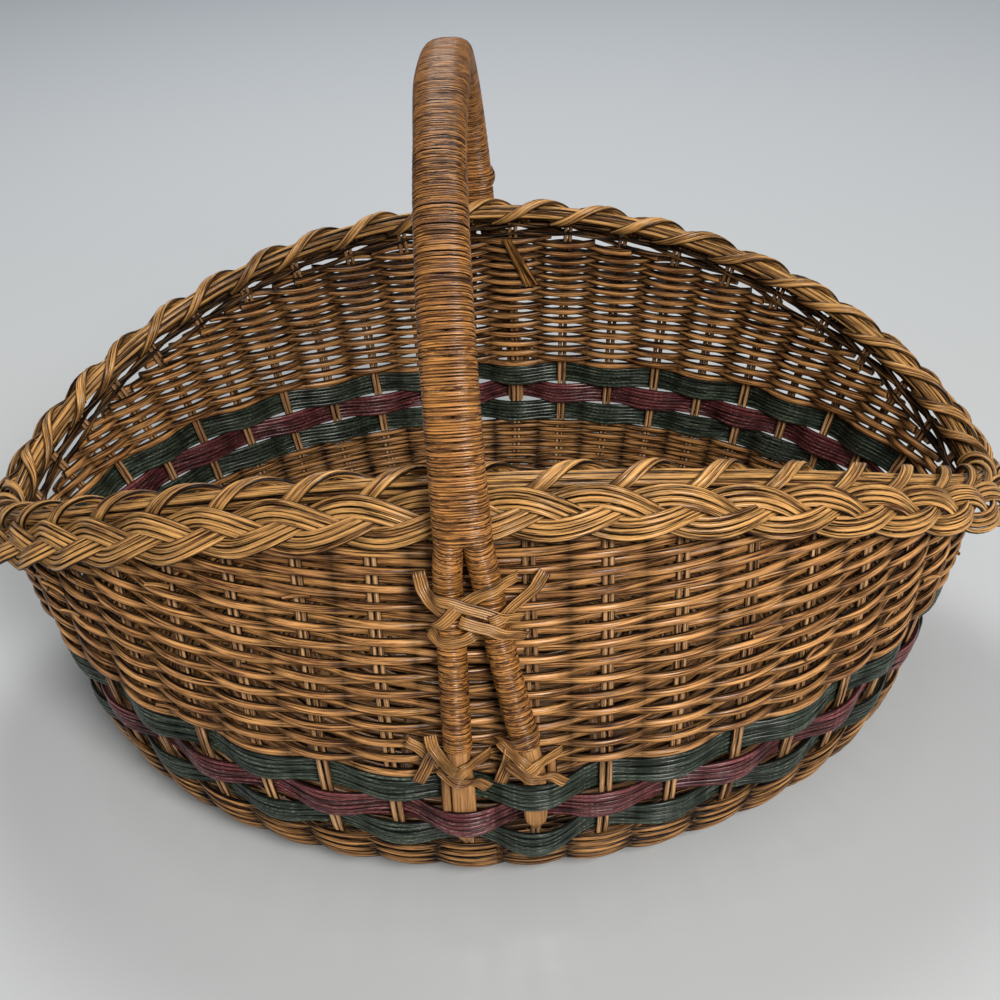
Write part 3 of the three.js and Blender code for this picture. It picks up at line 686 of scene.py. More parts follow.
class ReedSweeper:
    """Sweeps a reed's section along its strands with Geometry Nodes."""

    INPUTS = {
        "Strands": "Geometry",
        "Half Width": "Float",
        "Half Thickness": "Float",
        "Sides": "Int",
        "Finish": "Material",
    }
    SPARE = ("facing", "size", "run", "cut")

    def __init__(self) -> None:
        """Builds the tree once."""
        self.tree = bpy.data.node_groups.new("reed_along_strands", "GeometryNodeTree")
        self._sockets: dict[str, str] = {}
        for name, kind in self.INPUTS.items():
            self._sockets[name] = self._socket(name, "INPUT", kind)
        self._socket("Reeds", "OUTPUT", "Geometry")
        self._build()

    def _socket(self, name: str, way: str, kind: str) -> str:
        """Declares one named socket of the tree, and gives its identifier."""
        kind = f"NodeSocket{kind}"
        return self.tree.interface.new_socket(name=name, in_out=way, socket_type=kind).identifier

    def _build(self) -> None:
        """Adds the nodes: curve, facing, section, sweep, grain, realize and material."""
        nodes = NodeTree(self.tree)
        given = nodes.add("NodeGroupInput")
        position = nodes.add("GeometryNodeInputPosition").out()
        curve = nodes.add("GeometryNodeMeshToCurve", {0: given.out("Strands")})
        facing = nodes.read("facing", "FLOAT_VECTOR")
        turned = {"Curve": curve, "Normal": facing}
        turned = nodes.add("GeometryNodeSetCurveNormal", turned, {"mode": "FREE"})
        run = nodes.add("GeometryNodeSplineParameter").out("Length")
        marked = nodes.store(turned, "run", run)

        round_one = {"Resolution": given.out("Sides"), "Radius": 1.0}
        circle = nodes.add("GeometryNodeCurvePrimitiveCircle", round_one, {"mode": "RADIUS"})
        # crown: the place round the section, from which the finishes paint shade in the crevices
        # between reeds
        crowned = nodes.store(circle, "crown", nodes.parted(position).out(0))
        widths = nodes.joined(given.out("Half Thickness"), given.out("Half Width"), 1.0)
        wide = {"Geometry": crowned, "Position": nodes.vector("MULTIPLY", position, widths)}
        section = nodes.add("GeometryNodeSetPosition", wide)
        cut = nodes.store(section, "cut", position, "FLOAT_VECTOR")

        swept = {"Curve": marked, "Profile Curve": cut, "Scale": nodes.read("size")}
        mesh = nodes.add("GeometryNodeCurveToMesh", swept | {"Fill Caps": True})
        parts = nodes.parted(nodes.read("cut", "FLOAT_VECTOR"))
        grain = nodes.joined(nodes.read("run"), parts.out(0), parts.out(1))
        grained = nodes.store(mesh, "grain", grain, "FLOAT_VECTOR")
        shaded = {"Geometry": grained, "Shade Smooth": True}
        shaded = nodes.add("GeometryNodeSetShadeSmooth", shaded)
        real = nodes.add("GeometryNodeRealizeInstances", {0: shaded})
        dressed = {"Geometry": real, "Material": given.out("Finish")}
        nodes.add("NodeGroupOutput", {0: nodes.add("GeometryNodeSetMaterial", dressed)})

    @staticmethod
    def _lines(name: str, strands: Sequence[Strand]) -> Any:
        """Makes a mesh of the strands' middle lines, with their attributes.

        Args:
            name: the mesh's name.
            strands: the strands, in millimetres.

        Returns:
            The mesh, of points and edges.
        """
        starts = np.concatenate([[0], np.cumsum([len(s.points) for s in strands])])
        edges = []
        for start, strand in zip(starts, strands):
            count = len(strand.points)
            first = np.arange(count if strand.closed else count - 1)
            edges.append(np.stack([first, (first + 1) % count], -1) + start)
        joined = np.concatenate(edges)
        lines = bpy.data.meshes.new(name)
        lines.vertices.add(int(starts[-1]))
        lines.edges.add(len(joined))
        places = np.concatenate([s.points for s in strands])
        lines.vertices.foreach_set("co", places.ravel() * MM)
        lines.edges.foreach_set("vertices", joined.astype(np.int32).ravel())
        facings = [np.broadcast_to(s.facing, s.points.shape) for s in strands]
        write(lines, "facing", np.concatenate(facings))
        for key in ("size", "tint", "stain"):
            values = [np.broadcast_to(getattr(s, key), (len(s.points),)) for s in strands]
            write(lines, key, np.concatenate(values))
        lines.update()
        return lines

    def sweep(self, name: str, strands: Sequence[Strand], section: Section, finish: Any) -> Any:
        """Makes one mesh object of all the strands.

        Args:
            name: the piece's name.
            strands: middle lines in millimetres.
            section: the reed's cross-section.
            finish: its material.

        Returns:
            The object, a plain mesh at the origin.
        """
        lines = self._lines(f"{name}_lines", strands)
        carrier = linked(f"{name}_carrier", lines)
        modifier = carrier.modifiers.new("reeds", "NODES")
        modifier.node_group = self.tree
        modifier[self._sockets["Half Width"]] = section.half_width * MM
        modifier[self._sockets["Half Thickness"]] = section.half_thickness * MM
        modifier[self._sockets["Sides"]] = section.sides
        modifier[self._sockets["Finish"]] = finish
        graph = bpy.context.evaluated_depsgraph_get()
        mesh = bpy.data.meshes.new_from_object(carrier.evaluated_get(graph))
        bpy.data.objects.remove(carrier)
        bpy.data.meshes.remove(lines)
        mesh.name = name
        for spare in self.SPARE:
            if spare in mesh.attributes:
                mesh.attributes.remove(mesh.attributes[spare])
        return linked(name, mesh)


@dataclass
class Workshop:
    """What every sub-assembly shares: the wall's form, the sweeper, the finishes and the seed."""

    form: WallForm
    sweeper: ReedSweeper
    materials: dict[Look, Any]
    seed: int = 7

    def rng(self, offset: int) -> np.random.Generator:
        """A random source of its own for one sub-assembly."""
        return np.random.default_rng(self.seed * 1000 + offset)

    def piece(
        self, name: str, strands: Sequence[Strand], section: Section, look: Look, node: str
    ) -> None:
        """Sweeps a piece and puts it in place.

        Args:
            name: the piece's name.
            strands: its reeds.
            section: their cross-section.
            look: their finish.
            node: the CAD node that it stands for.
        """
        made = self.sweeper.sweep(name, strands, section, self.materials[look])
        self.place(made, look, node)

    def place(self, made: Any, look: Look, node: str) -> None:
        """Puts a finished object on the body in place of its CAD node.

        Args:
            made: the object.
            look: not used.
            node: the CAD node.
        """
        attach(made, BODY)
        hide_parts(node)
        log.info("%s: %d faces", made.name, len(made.data.polygons))


@dataclass
class SubAssembly:
    """One group of pieces, made in the shared workshop."""

    shop: Workshop

    def begin(self, offset: int) -> tuple[WallForm, np.random.Generator]:
        """The wall's form, and a random source of its own."""
        return self.shop.form, self.shop.rng(offset)


# Side weave


@dataclass
class SideStakes(SubAssembly):
    """Pairs of round reed that stand all round and carry the weave."""

    radius: float = 1.3
    apart: float = 1.4
    sway: float = 0.25
    above_foot: float = 6.0
    past_top: float = 1.0
    stain: float = 0.12
    samples: int = 30

    def build(self) -> list[Strand]:
        """Lays both reeds of every pair.

        Returns:
            Their strands.
        """
        form, rng = self.begin(1)
        strands = []
        for stake in range(STAKE_PAIRS):
            angle = form.stake_angle(stake)
            top = form.stake_top(np.array([angle]))[0] + self.past_top
            foot = form.foot_height(np.array([angle]))[0] + self.above_foot
            heights = np.linspace(foot, top, self.samples)
            for side in (-1, 1):
                sway = wobble(rng, (heights - foot) / (top - foot), self.sway, (1, 2))
                angles = angle + (side * self.apart + sway) * form.per_mm(angle)
                placed = form.on_wall(angles, heights)
                strands.append(Strand(*placed, rng.random(), self.stain))
        return strands

    def dress(self) -> None:
        """Makes the piece."""
        section = Section(self.radius, self.radius)
        node = "side_stakes_in_lower_weave"
        self.shop.piece("side_stakes", self.build(), section, Look.STAKE, node)


@dataclass
class SideWeave(SubAssembly):
    """Rows of single round reed, over one stake pair and under the next."""

    samples: int = 10
    swing: float = 2.75
    squareness: float = 0.85
    wall_pitch: float = 3.55
    wall_radius: float = 1.88
    lower_pitch: float = 2.5
    lower_radius: float = 1.56
    lower_swing: tuple[float, float] = (0.9, 1.1)
    # painted shade over the rows below the band, as under the belly
    lower_stain: float = 0.34
    band_half: float = 19.7
    back_thicker: float = 0.11
    above_band: float = 1.8
    below_band: float = 0.9
    at_edge: float = 0.6
    wall_uneven: float = 0.28
    lower_uneven: float = 0.12
    loose_ends: int = 44
    end_lengths: tuple[float, float] = (9.0, 15.0)
    end_stands_out: tuple[float, float] = (2.2, 3.2)
    end_section: Section = Section(1.15, 1.0)

    def __post_init__(self) -> None:
        """Places the samples round the basket."""
        self.parts, self.angles = self.shop.form.around(STAKE_PAIRS * self.samples)

    def _row(
        self, heights: Array, phase: int, swing: float, rng: np.random.Generator, keep: Array
    ) -> list[Strand]:
        """One row, cut where keep is false.

        Args:
            heights: height along the wall's curve at each sample.
            phase: 0 or 1, which stakes it passes outside.
            swing: how far it passes from the wall's middle.
            rng: random source.
            keep: where the row is woven.

        Returns:
            One closed strand, or an open one for each stretch that is kept.
        """
        parts, angles = self.parts, self.angles
        wave = raised(np.cos(np.pi * (parts * STAKE_PAIRS - 0.5 + phase)), self.squareness)
        offset = wave * swing * (1 + wobble(rng, parts, 0.08, (9, 17, 23)))
        points, normal = self.shop.form.on_wall(angles, heights, offset)
        # Painted shade: the row darkens where it passes between stake pairs, through the wall.
        stain = np.clip(0.7 - np.abs(wave), 0, 1) * 0.95
        size = 1 + wobble(rng, parts, 0.05, (5, 13, 31)) + self.back_thicker * (np.sin(angles) > 0)
        tint = rng.random()
        if keep.all():
            return [Strand(points, normal, tint, stain, size, True)]
        strands = []
        for start in np.flatnonzero(keep & ~np.roll(keep, 1)):
            length = int(np.argmin(np.roll(keep, -start)))
            if length >= self.samples:
                pick = (start + np.arange(length)) % len(keep)
                strands.append(Strand(points[pick], normal[pick], tint, stain[pick], size[pick]))
        return strands

    def build_wall(self) -> list[Strand]:
        """Rows between the band and the close rows under the rim.

        Returns:
            Their strands.
        """
        form, rng = self.begin(2)
        top = form.wale_foot(self.angles) - self.at_edge
        first = self.band_half + self.above_band
        strands = []
        for row in range(int((top.max() - first) / self.wall_pitch) + 1):
            uneven = wobble(rng, self.parts, self.wall_uneven, (3, 8, 14, 29))
            heights = first + self.wall_pitch * row + uneven
            strands += self._row(heights, row % 2, self.swing, rng, heights < top)
        return strands

    def build_ends(self) -> list[Strand]:
        """Cut reed ends that stand a little out of the wall.

        Returns:
            Their strands.
        """
        form, rng = self.begin(4)
        run = np.linspace(0, 1, 7)
        clear, bend = self.end_stands_out
        strands = []
        for _ in range(self.loose_ends):
            angle = form.angle_round(np.array([rng.random()]))[0]
            top = form.wale_foot(np.array([angle]))[0] - 3.0
            height = rng.uniform(self.band_half + 6.0, top)
            way = rng.choice((-1.0, 1.0))
            length = rng.uniform(*self.end_lengths)
            angles = angle + way * run * length * form.per_mm(angle)
            heights = height + run**2 * rng.uniform(-2.0, 3.0)
            placed = form.on_wall(angles, heights, clear + bend * run**2)
            # Painted shade at the root of each end, where it goes into the wall.
            strands.append(Strand(*placed, rng.random(), 0.25 * (1 - run), 1 - 0.25 * run))
        return strands

    def build_lower(self) -> list[Strand]:
        """Rows between the base edge and the band.

        Returns:
            Their strands.
        """
        form, rng = self.begin(3)
        foot = form.foot_height(self.angles) - self.at_edge
        high = -self.band_half - self.below_band
        rows = int(round((high - foot.min()) / self.lower_pitch)) + 1
        whole = np.ones(len(foot), bool)
        least, more = self.lower_swing
        strands = []
        for row in range(rows):
            share = row / (rows - 1)
            uneven = wobble(rng, self.parts, self.lower_uneven, (5, 11, 27))
            heights = foot + (high - foot) * share + uneven
            swing = least + more * min(1.0, share * 2.0)
            strands += self._row(heights, row % 2, swing, rng, whole)
        # Painted shade: every lower row is darkened, as under the belly.
        for strand in strands:
            strand.stain = np.clip(strand.stain + self.lower_stain, 0, 1)
        return strands

    def dress(self) -> None:
        """Makes both weaves and the loose ends."""
        piece = self.shop.piece
        wall = Section(self.wall_radius, self.wall_radius, 7)
        piece("wall_weave_rows", self.build_wall(), wall, Look.REED, "wall_weave")
        piece("wall_reed_ends", self.build_ends(), self.end_section, Look.REED, "wall_weave")
        lower = Section(self.lower_radius, self.lower_radius)
        node = "side_stakes_in_lower_weave"
        piece("lower_weave_rows", self.build_lower(), lower, Look.REED, node)


@dataclass
class ColourBand(SubAssembly):
    """Three rows of dyed reed bundles: green, burgundy and green."""

    samples: int = 12
    reeds: int = 6
    radius: float = 1.16
    flatness: float = 0.92
    pitch: float = 1.98
    fan: float = 0.2
    uneven: float = 0.22
    row_step: float = 12.8
    clear: float = 2.75
    over_tips: float = 8.3
    leg_stakes: tuple[int, ...] = (0, 21, 22, 43)
    wider_behind: float = 0.1

    def _offset(self, stake: int, row: int) -> float:
        """How far out a row passes one stake pair."""
        outside = self.over_tips if stake in self.leg_stakes else self.clear
        return -self.clear if (stake + row) % 2 else outside

    def build(self, row: int) -> list[Strand]:
        """Lays the reeds of one row.

        Args:
            row: 0 for the upper row, 1 for the middle, 2 for the lower.

        Returns:
            One closed strand for each reed.
        """
        form, rng = self.begin(10 + row)
        parts, angles = form.around(STAKE_PAIRS * self.samples)
        stakes = parts * STAKE_PAIRS - 0.5
        low = np.floor(stakes).astype(int)
        ease = smooth((stakes - low - 0.04) / 0.92)
        offsets = np.array([self._offset(s, row) for s in range(STAKE_PAIRS)])
        offset = offsets[low % STAKE_PAIRS] * (1 - ease) + offsets[(low + 1) % STAKE_PAIRS] * ease
        spread = np.abs(np.cos(np.pi * stakes))
        behind = self.wider_behind * (np.sin(angles) > 0)
        crest = np.where(offset > 0, 1.0, 0.0) * spread
        # Painted shade where the reeds pass between stake pairs, through the wall.
        stain = np.clip(1 - spread * 1.8, 0, 1) * 0.4
        strands = []
        for reed in range(self.reeds):
            place = reed - (self.reeds - 1) / 2
            heights = self.row_step * (1 - row) + place * (self.pitch + self.fan * spread + behind)
            heights = heights + wobble(rng, parts, self.uneven, (7, 19, 37))
            bulge = offset + crest * 0.5 * (1 - (place / 2.5) ** 2)
            bulge = bulge + wobble(rng, parts, 0.14, (13, 29))
            bulge = bulge + (0.25 if reed % 2 else -0.2) * (1 - spread) ** 1.5
            placed = form.on_wall(angles, heights, bulge)
            strands.append(Strand(*placed, rng.random(), stain, 1 + behind, True))
        return strands

    def dress(self) -> None:
        """Makes the three rows."""
        section = Section(self.radius, self.radius * self.flatness, 8)
        for row, name in enumerate(("upper_green_row", "burgundy_row", "lower_green_row")):
            look = Look.BURGUNDY if row == 1 else Look.GREEN
            self.shop.piece(f"{name}_reeds", self.build(row), section, look, name)


# Rim


@dataclass
class Rim(SubAssembly):
    """The worked rim: close rows, bundle, stake loops and a plait of three strands."""

    wale_rows: int = 6
    wale_pitch: float = 2.25
    wale_swing: float = 3.0
    wale_section: Section = Section(1.4, 1.3)
    core_reeds: int = 7
    core_ring: float = 2.7
    core_radius: float = 1.6
    core_up: float = 1.2
    loop_path: float = 5.5
    loop_radius: float = 1.38
    loop_up: float = 0.84
    loop_sides: tuple[float, ...] = (-1.7, 0, 1.7)
    loop_turn: tuple[float, float] = (-75.0, 300.0)
    loop_ahead: tuple[float, float] = (-7.0, 46.0)
    arch_front: float = 1.7
    arch_back: float = 0.8
    plait_turns: int = 15
    swing: float = 6.5
    lift: float = 2.2
    plait_out: float = 13.6
    plait_down: float = 5.5
    lean: float = math.radians(55)
    strand_reeds: tuple[float, ...] = (-3.6, -1.2, 1.2, 3.6)
    strand_section: Section = Section(1.2, 1.25, 8)

    def wale(self) -> list[Strand]:
        """Close rows under the rim, each outside two stake pairs and inside the third.

        Returns:
            Their strands.
        """
        form, rng = self.begin(20)
        parts, angles = form.around(STAKE_PAIRS * 10)
        foot = form.wale_foot(angles)
        strands = []
        for row in range(self.wale_rows):
            turn = 2 * np.pi * (15 * parts + row / 3)
            wave = np.clip(0.45 + 1.05 * np.cos(turn), -0.62, 1.0)
            heights = foot + 1.1 + row * self.wale_pitch + 0.5 * np.sin(turn)
            heights = heights + wobble(rng, parts, 0.2, (5, 17))
            placed = form.on_wall(angles, heights, wave * self.wale_swing)
            # Painted shadow of the plait over all the close rows, darker still where a row passes
            # inside.
            stain = 0.55 + 0.35 * (wave < 0.2)
            strands.append(Strand(*placed, rng.random() * 0.7, stain, closed=True))
        return strands

    def core(self) -> list[Strand]:
        """Parallel reeds of the bundle.

        Returns:
            Their strands.
        """
        form, rng = self.begin(21)
        parts, angles = form.around(STAKE_PAIRS * 8)
        centre = form.rim_point(angles, 0.0, self.core_up)
        strands = []
        for reed in range(self.core_reeds):
            turn = 2 * np.pi * reed / self.core_reeds + wobble(rng, parts, 0.25, (2, 3, 5))
            up = self.core_ring * np.sin(turn) + self.core_up
            points = form.rim_point(angles, self.core_ring * np.cos(turn), up)
            strands.append(Strand(points, unit(points - centre), rng.random(), 0.08, closed=True))
        return strands

    def loops(self) -> list[Strand]:
        """One loop of each stake pair, of three reeds, over the bundle and down inside.

        Returns:
            Their strands.
        """
        form, rng = self.begin(22)
        run = np.linspace(0.0, 1.0, 22)
        start, sweep = self.loop_turn
        turn = np.radians(start + sweep * run)
        back, forth = self.loop_ahead
        # Painted shade at both ends of a loop, where it dives under the bundle and into the wall.
        stain = np.clip(np.maximum(0.12 - run, run - 0.8) * 5, 0, 1) * 0.7
        strands = []
        for stake in range(STAKE_PAIRS):
            angle = form.stake_angle(stake)
            reach = rng.uniform(0.92, 1.1)
            high = self.arch_front if math.sin(angle) < 0.2 else self.arch_back
            for side in self.loop_sides:
                ahead = back + forth * reach * run**1.2 + side * (1.6 - 0.3 * run)
                path = self.loop_path + rng.uniform(-0.1, 0.5)
                radius = path + high * np.sin(np.pi * run) ** 2
                angles = angle + ahead * form.per_mm(angle, form.top)
                up = radius * np.sin(turn) + self.loop_up
                points = form.rim_point(angles, radius * np.cos(turn), up)
                facing = unit(points - form.rim_point(angles, 0.0, self.loop_up))
                strands.append(Strand(points, facing, rng.random(), stain))
        return strands

    def plait(self, strand: int) -> list[Strand]:
        """Parallel reeds of one strand of the plait.

        Args:
            strand: 0, 1 or 2.

        Returns:
            Their strands.
        """
        form, rng = self.begin(23 + strand)
        parts, angles = form.around(self.plait_turns * 24)
        phase = 2 * np.pi * (self.plait_turns * parts + strand / 3)
        lift = -self.lift * np.sin(2 * phase)
        across = self.swing * np.sin(phase) + wobble(rng, parts, 0.35, (7, 11, 19))
        # Painted shade where a strand dips under the others.
        stain = np.clip((np.sin(2 * phase) - 0.45) * 1.6, 0, 1) * 0.45
        _, up_way, out_way = form.rim_frame(angles)
        sine, cosine = math.sin(self.lean), math.cos(self.lean)
        facing = unit(out_way * sine + up_way * cosine)
        strands = []
        for place in self.strand_reeds:
            x = across + place + wobble(rng, parts, 0.2, (13, 23, 31))
            y = lift - 0.05 * place**2 + wobble(rng, parts, 0.12, (17, 29))
            out = self.plait_out + x * cosine + y * sine
            points = form.rim_point(angles, out, -self.plait_down - x * sine + y * cosine)
            strands.append(Strand(points, facing, rng.random(), stain, closed=True))
        return strands

    def dress(self) -> None:
        """Makes the rim's pieces."""
        piece = self.shop.piece
        piece("top_wale_rows", self.wale(), self.wale_section, Look.REED, "top_wale")
        core = Section(self.core_radius, self.core_radius, 7)
        piece("rim_bundle", self.core(), core, Look.RIM, "rim_core_with_stake_loops")
        loop = Section(self.loop_radius, self.loop_radius, 7)
        piece("stake_loops", self.loops(), loop, Look.RIM, "rim_core_with_stake_loops")
        for strand in (1, 2, 3):
            name, node = f"plait_strand_{strand}_reeds", f"rim_plait_strand_{strand}"
            piece(name, self.plait(strand - 1), self.strand_section, Look.RIM, node)


# Handle


@dataclass(frozen=True)
class Station:
    """One place of a leg: off its pair's middle, share of the bow's shift, out, up, half depth."""

    side: float
    lean: float
    out: float
    up: float
    half: float


@dataclass
class Handle(SubAssembly):
    """Two rods wrapped together over the bow, parting into four legs outside the plait."""

    rod: float = 4.8
    tip: float = 1.9
    split: float = 179.0
    top: float = 304.5
    past_rim: float = 27.3
    fullness: float = 2.25
    front_shift: float = -9.0
    back_shift: float = -4.0
    sway: float = -4.5
    joined: float = 5.05
    parted: float = 6.9
    wrap_pitch: float = 0.98
    tips: tuple[float, float] = (43.0, 50.0)
    leg_clear: float = 10.3
    tip_clear: float = 5.2
    wrap_end: float = 99.0
    wrap_top: float = 180.0
    leg_half: float = 5.5
    cane: Section = Section(0.53, 0.4)
    bow_wrap: tuple[float, float] = (6.4, 0.74)
    bow_shares: tuple[float, ...] = (0, 0.06, 0.36, 0.48, 0.64, 0.94, 1)
    bow_halves: tuple[float, ...] = (11.0, 10.4, 10.3, 11.9, 10.3, 10.2, 10.0)
    collar: tuple[float, float, float] = (1.9, 0.962, 0.009)
    # darker cane toward the top of the bow: share, height where it starts, rise
    top_stain: tuple[float, float, float] = (0.3, 235.0, 60.0)
    rod_sides: int = 14
    rod_step: float = 3.0
    rounding: float = 6.0
    split_apart: float = 7.0
    split_top: float = 88.0
    split_section: Section = Section(2.1, 1.5, 8)

    def __post_init__(self) -> None:
        """Measures where the legs stand on the wall."""
        form = self.shop.form
        self.half_span = form.levels[-1].half_width + self.past_rim
        points, _ = form.on_wall(form.stake_angle(0), np.zeros(1))
        self.stake_side = abs(float(points[0, 0]))

    def _out(self, height: float) -> float:
        """How far out a leg's middle stands.

        Args:
            height: height above the floor.

        Returns:
            The distance, square to the leaning wall.
        """
        reach = self.shop.form.reach
        slope = float(reach(height + 8) - reach(height - 8)) / 16
        return float(reach(height)) + self.leg_clear * math.hypot(1, slope)

    def stations(self, tip: float) -> list[Station]:
        """A leg's stations from its tip to the bow.

        Args:
            tip: how high its end stands.

        Returns:
            The stations.
        """
        side, rod, span = self.stake_side, self.rod, self.half_span
        reach = self.shop.form.reach
        close = [(up, float(reach(up)) + self.tip_clear) for up in (tip, 60.0, 76.0)]
        high = max(self._out(142), (self._out(142) + span) / 2)
        return [Station(side, 0.0, out, up, self.tip) for up, out in close] + [
            Station(side, 0.1, self._out(87), 87, rod),
            Station(side + (self.parted - side) * 0.35, 0.4, self._out(112), 112, rod),
            Station(side + (self.parted - side) * 0.75, 0.75, high, 142, rod),
            Station(self.parted, 1.0, span - 0.5, 168, rod),
            Station(self.joined, 1.0, span, self.split, rod),
        ]

    def _shift(self, face: Face) -> float:
        """How far along the basket the bow stands at one face."""
        return self.front_shift if face is Face.FRONT else self.back_shift

    def leg_line(self, side: Side, face: Face, heights: Array) -> Array:
        """Middle of a leg, with its bends eased.

        Args:
            side: which rod.
            face: which long side of the basket.
            heights: heights above the floor.

        Returns:
            The points.
        """
        stations = self.stations(self.tips[0])
        ups = [s.up for s in stations]
        total = np.zeros((len(heights), 3))
        eases = (-6.0, -3.0, 0.0, 3.0, 6.0)
        for ease in eases:
            at = heights + ease
            x = side.value * np.interp(at, ups, [s.side for s in stations])
            x = x + self._shift(face) * np.interp(at, ups, [s.lean for s in stations])
            out = np.interp(at, ups, [s.out for s in stations])
            total += np.stack([x, face.value * out, heights], -1) / len(eases)
        return total

    def bow_line(self, count: int = 600) -> Array:
        """Middle of the two rods over the bow.

        Args:
            count: how many points.

        Returns:
            The points, at even steps.
        """
        t = np.linspace(0, 1, 4001)
        power = 2 / self.fullness
        out = self.half_span * raised(np.cos(np.pi * t), power)
        up = self.split + (self.top - self.split) * np.abs(np.sin(np.pi * t)) ** power
        shift = self.front_shift + (self.back_shift - self.front_shift) * t**3
        points = np.stack([shift + self.sway * np.sin(np.pi * t), -out, up], -1)
        run = run_of(points)
        return points_at(np.linspace(0, run[-1], count), run, points)

    def winding(
        self,
        line: Array,
        half_x: Array | float,
        half_y: float,
        square: float,
        rng: np.random.Generator,
        steps: int,
    ) -> Strand:
        """One cane wound round a line.

        Args:
            line: middle of what it is wound round.
            half_x: half the wound width across, one value or one for each point of the line.
            half_y: half the wound depth.
            square: 1 for an ellipse, less for a squarer shape.
            rng: random source.
            steps: samples for each turn.

        Returns:
            The winding's middle line.
        """
        run = run_of(line)
        turns = run[-1] / self.wrap_pitch
        turn = 2 * np.pi * np.arange(int(turns * steps) + 1) / steps
        parts = turn / turn[-1]
        waves = [int(turns / 3), int(turns / 7), int(turns / 2.3)]
        uneven = wobble(rng, parts, 0.3 * self.wrap_pitch, waves)
        at = np.clip(run[-1] * turn / turn[-1] + uneven, 0, run[-1])
        ahead = unit(points_at(at, run, unit(np.gradient(line, axis=0))))
        side = unit(AHEAD_X - ahead * ahead[:, 0:1])
        out = np.cross(side, ahead)
        half_x = np.interp(at, run, np.broadcast_to(half_x, run.shape))
        c, s = raised(np.cos(turn), square), raised(np.sin(turn), square)
        loose = 1 + wobble(rng, parts, 0.012, (int(turns / 1.7), int(turns / 5)))
        points = points_at(at, run, line) + side * (c * half_x * loose)[:, None]
        points = points + out * (s * half_y * loose)[:, None]
        facing = unit(side * (c / half_x)[:, None] + out * (s / half_y)[:, None])
        whole = turn[::steps]
        hue = np.interp(turn, whole, rng.random(len(whole)))
        return Strand(points, facing, 0.15 + 0.6 * hue, np.clip(hue * 2.2 - 1.85, 0, 0.3))

    def rod_rings(self, side: Side) -> tuple[Array, Array]:
        """Middle line and half depths of one rod.

        Args:
            side: which rod.

        Returns:
            The points and the half depths, from the front tip to the back one.
        """
        legs = []
        for face in Face:
            stations = self.stations(self.tips[0 if side.value == face.value else 1])
            shift = self._shift(face)
            legs.append([
                (side.value * s.side + s.lean * shift, face.value * s.out, s.up, s.half)
                for s in stations
            ])
        bow = self.bow_line(60)[1:-1] + [side.value * self.joined, 0, 0]
        bow = np.concatenate([bow, np.full((len(bow), 1), self.rod)], axis=1)
        rings = np.concatenate([legs[0], bow, legs[1][::-1]])
        return rings[:, :3], rings[:, 3]

    def rod_mesh(self, side: Side, name: str) -> Any:
        """Lofts one rod with its flat, rounded ends.

        Args:
            side: which rod.
            name: the piece's name.

        Returns:
            The object.
        """
        line, halves = self.rod_rings(side)
        run = run_of(line)
        knots = np.unique(np.concatenate([np.arange(0, run[-1], self.rod_step), [run[-1]], run]))
        line = points_at(knots, run, line)
        halves = np.interp(knots, run, halves)
        ends = np.clip(np.minimum(knots, run[-1] - knots) / self.rounding, 0, 1)
        widths = self.rod * np.sqrt(np.clip(1 - (1 - ends) ** 2, 0.04, 1))
        ahead = unit(np.gradient(line, axis=0))
        across = unit(AHEAD_X - ahead * ahead[:, :1])
        out = np.cross(across, ahead)
        turn = 2 * np.pi * np.arange(self.rod_sides) / self.rod_sides
        power = 1 - 0.5 * np.clip((self.rod - halves) / (self.rod - self.tip), 0, 1)[:, None]
        x = raised(np.cos(turn), power) * widths[:, None]
        y = raised(np.sin(turn), power) * halves[:, None]
        rings = line[:, None] + across[:, None] * x[..., None] + out[:, None] * y[..., None]
        grain = np.stack([np.broadcast_to(knots[:, None], x.shape), x, y], -1)
        return loft(name, rings, grain, self.shop.materials[Look.ROD])

    def split_end(self, side: Side) -> list[Strand]:
        """The narrow part that split off each shaved end, beside it.

        Args:
            side: which rod.

        Returns:
            One strand for each face.
        """
        ups = np.linspace(self.split_top, 56.0 if side is Side.LEFT else 62.0, 12)
        x = np.full_like(ups, side.value * (self.stake_side + self.split_apart))
        out = self.shop.form.reach(ups) + self.tip_clear - 0.2
        size = np.sqrt(np.clip(1 - (1 - np.clip((ups - ups[-1]) / 4, 0, 1)) ** 2, 0.2, 1))
        strands = []
        for face in Face:
            points = np.stack([x, face.value * out, ups], -1)
            strands.append(Strand(points, np.array([0.0, face.value, 0.0]), 0.6, 0.05, size))
        return strands

    def dress(self) -> None:
        """Makes rods, split ends and wraps."""
        shop, rng = self.shop, self.shop.rng(40)
        for side in Side:
            node = f"handle_rod_{side.word}"
            shop.place(self.rod_mesh(side, f"{side.word}_rod"), Look.ROD, node)
            split, name = self.split_end(side), f"{side.word}_rod_split_end"
            shop.piece(name, split, self.split_section, Look.ROD, node)
        line = self.bow_line()
        line = line[int(0.006 * len(line)) : int(0.994 * len(line))]
        share = np.linspace(0, 1, len(line))
        swell, middle, half = self.collar
        widths = np.interp(share, self.bow_shares, self.bow_halves)
        widths = widths + swell * np.exp(-(((share - middle) / half) ** 4))
        bow = self.winding(line, widths, *self.bow_wrap, rng, 18)
        # Darkens the cane toward the top of the bow.
        share, low, rise = self.top_stain
        bow.stain = bow.stain + share * smooth((bow.points[:, 2] - low) / rise)
        shop.piece("bow_cane", [bow], self.cane, Look.CANE, "bow_wrap")
        heights = np.linspace(self.wrap_end - 3, self.wrap_top, 120)
        for face in Face:
            for side in Side:
                line = self.leg_line(side, face, heights)
                wound = self.winding(line, self.leg_half, self.leg_half, 1.0, rng, 14)
                name = f"{face.word}_{side.word}"
                shop.piece(f"leg_cane_{name}", [wound], self.cane, Look.CANE, f"leg_wrap_{name}")


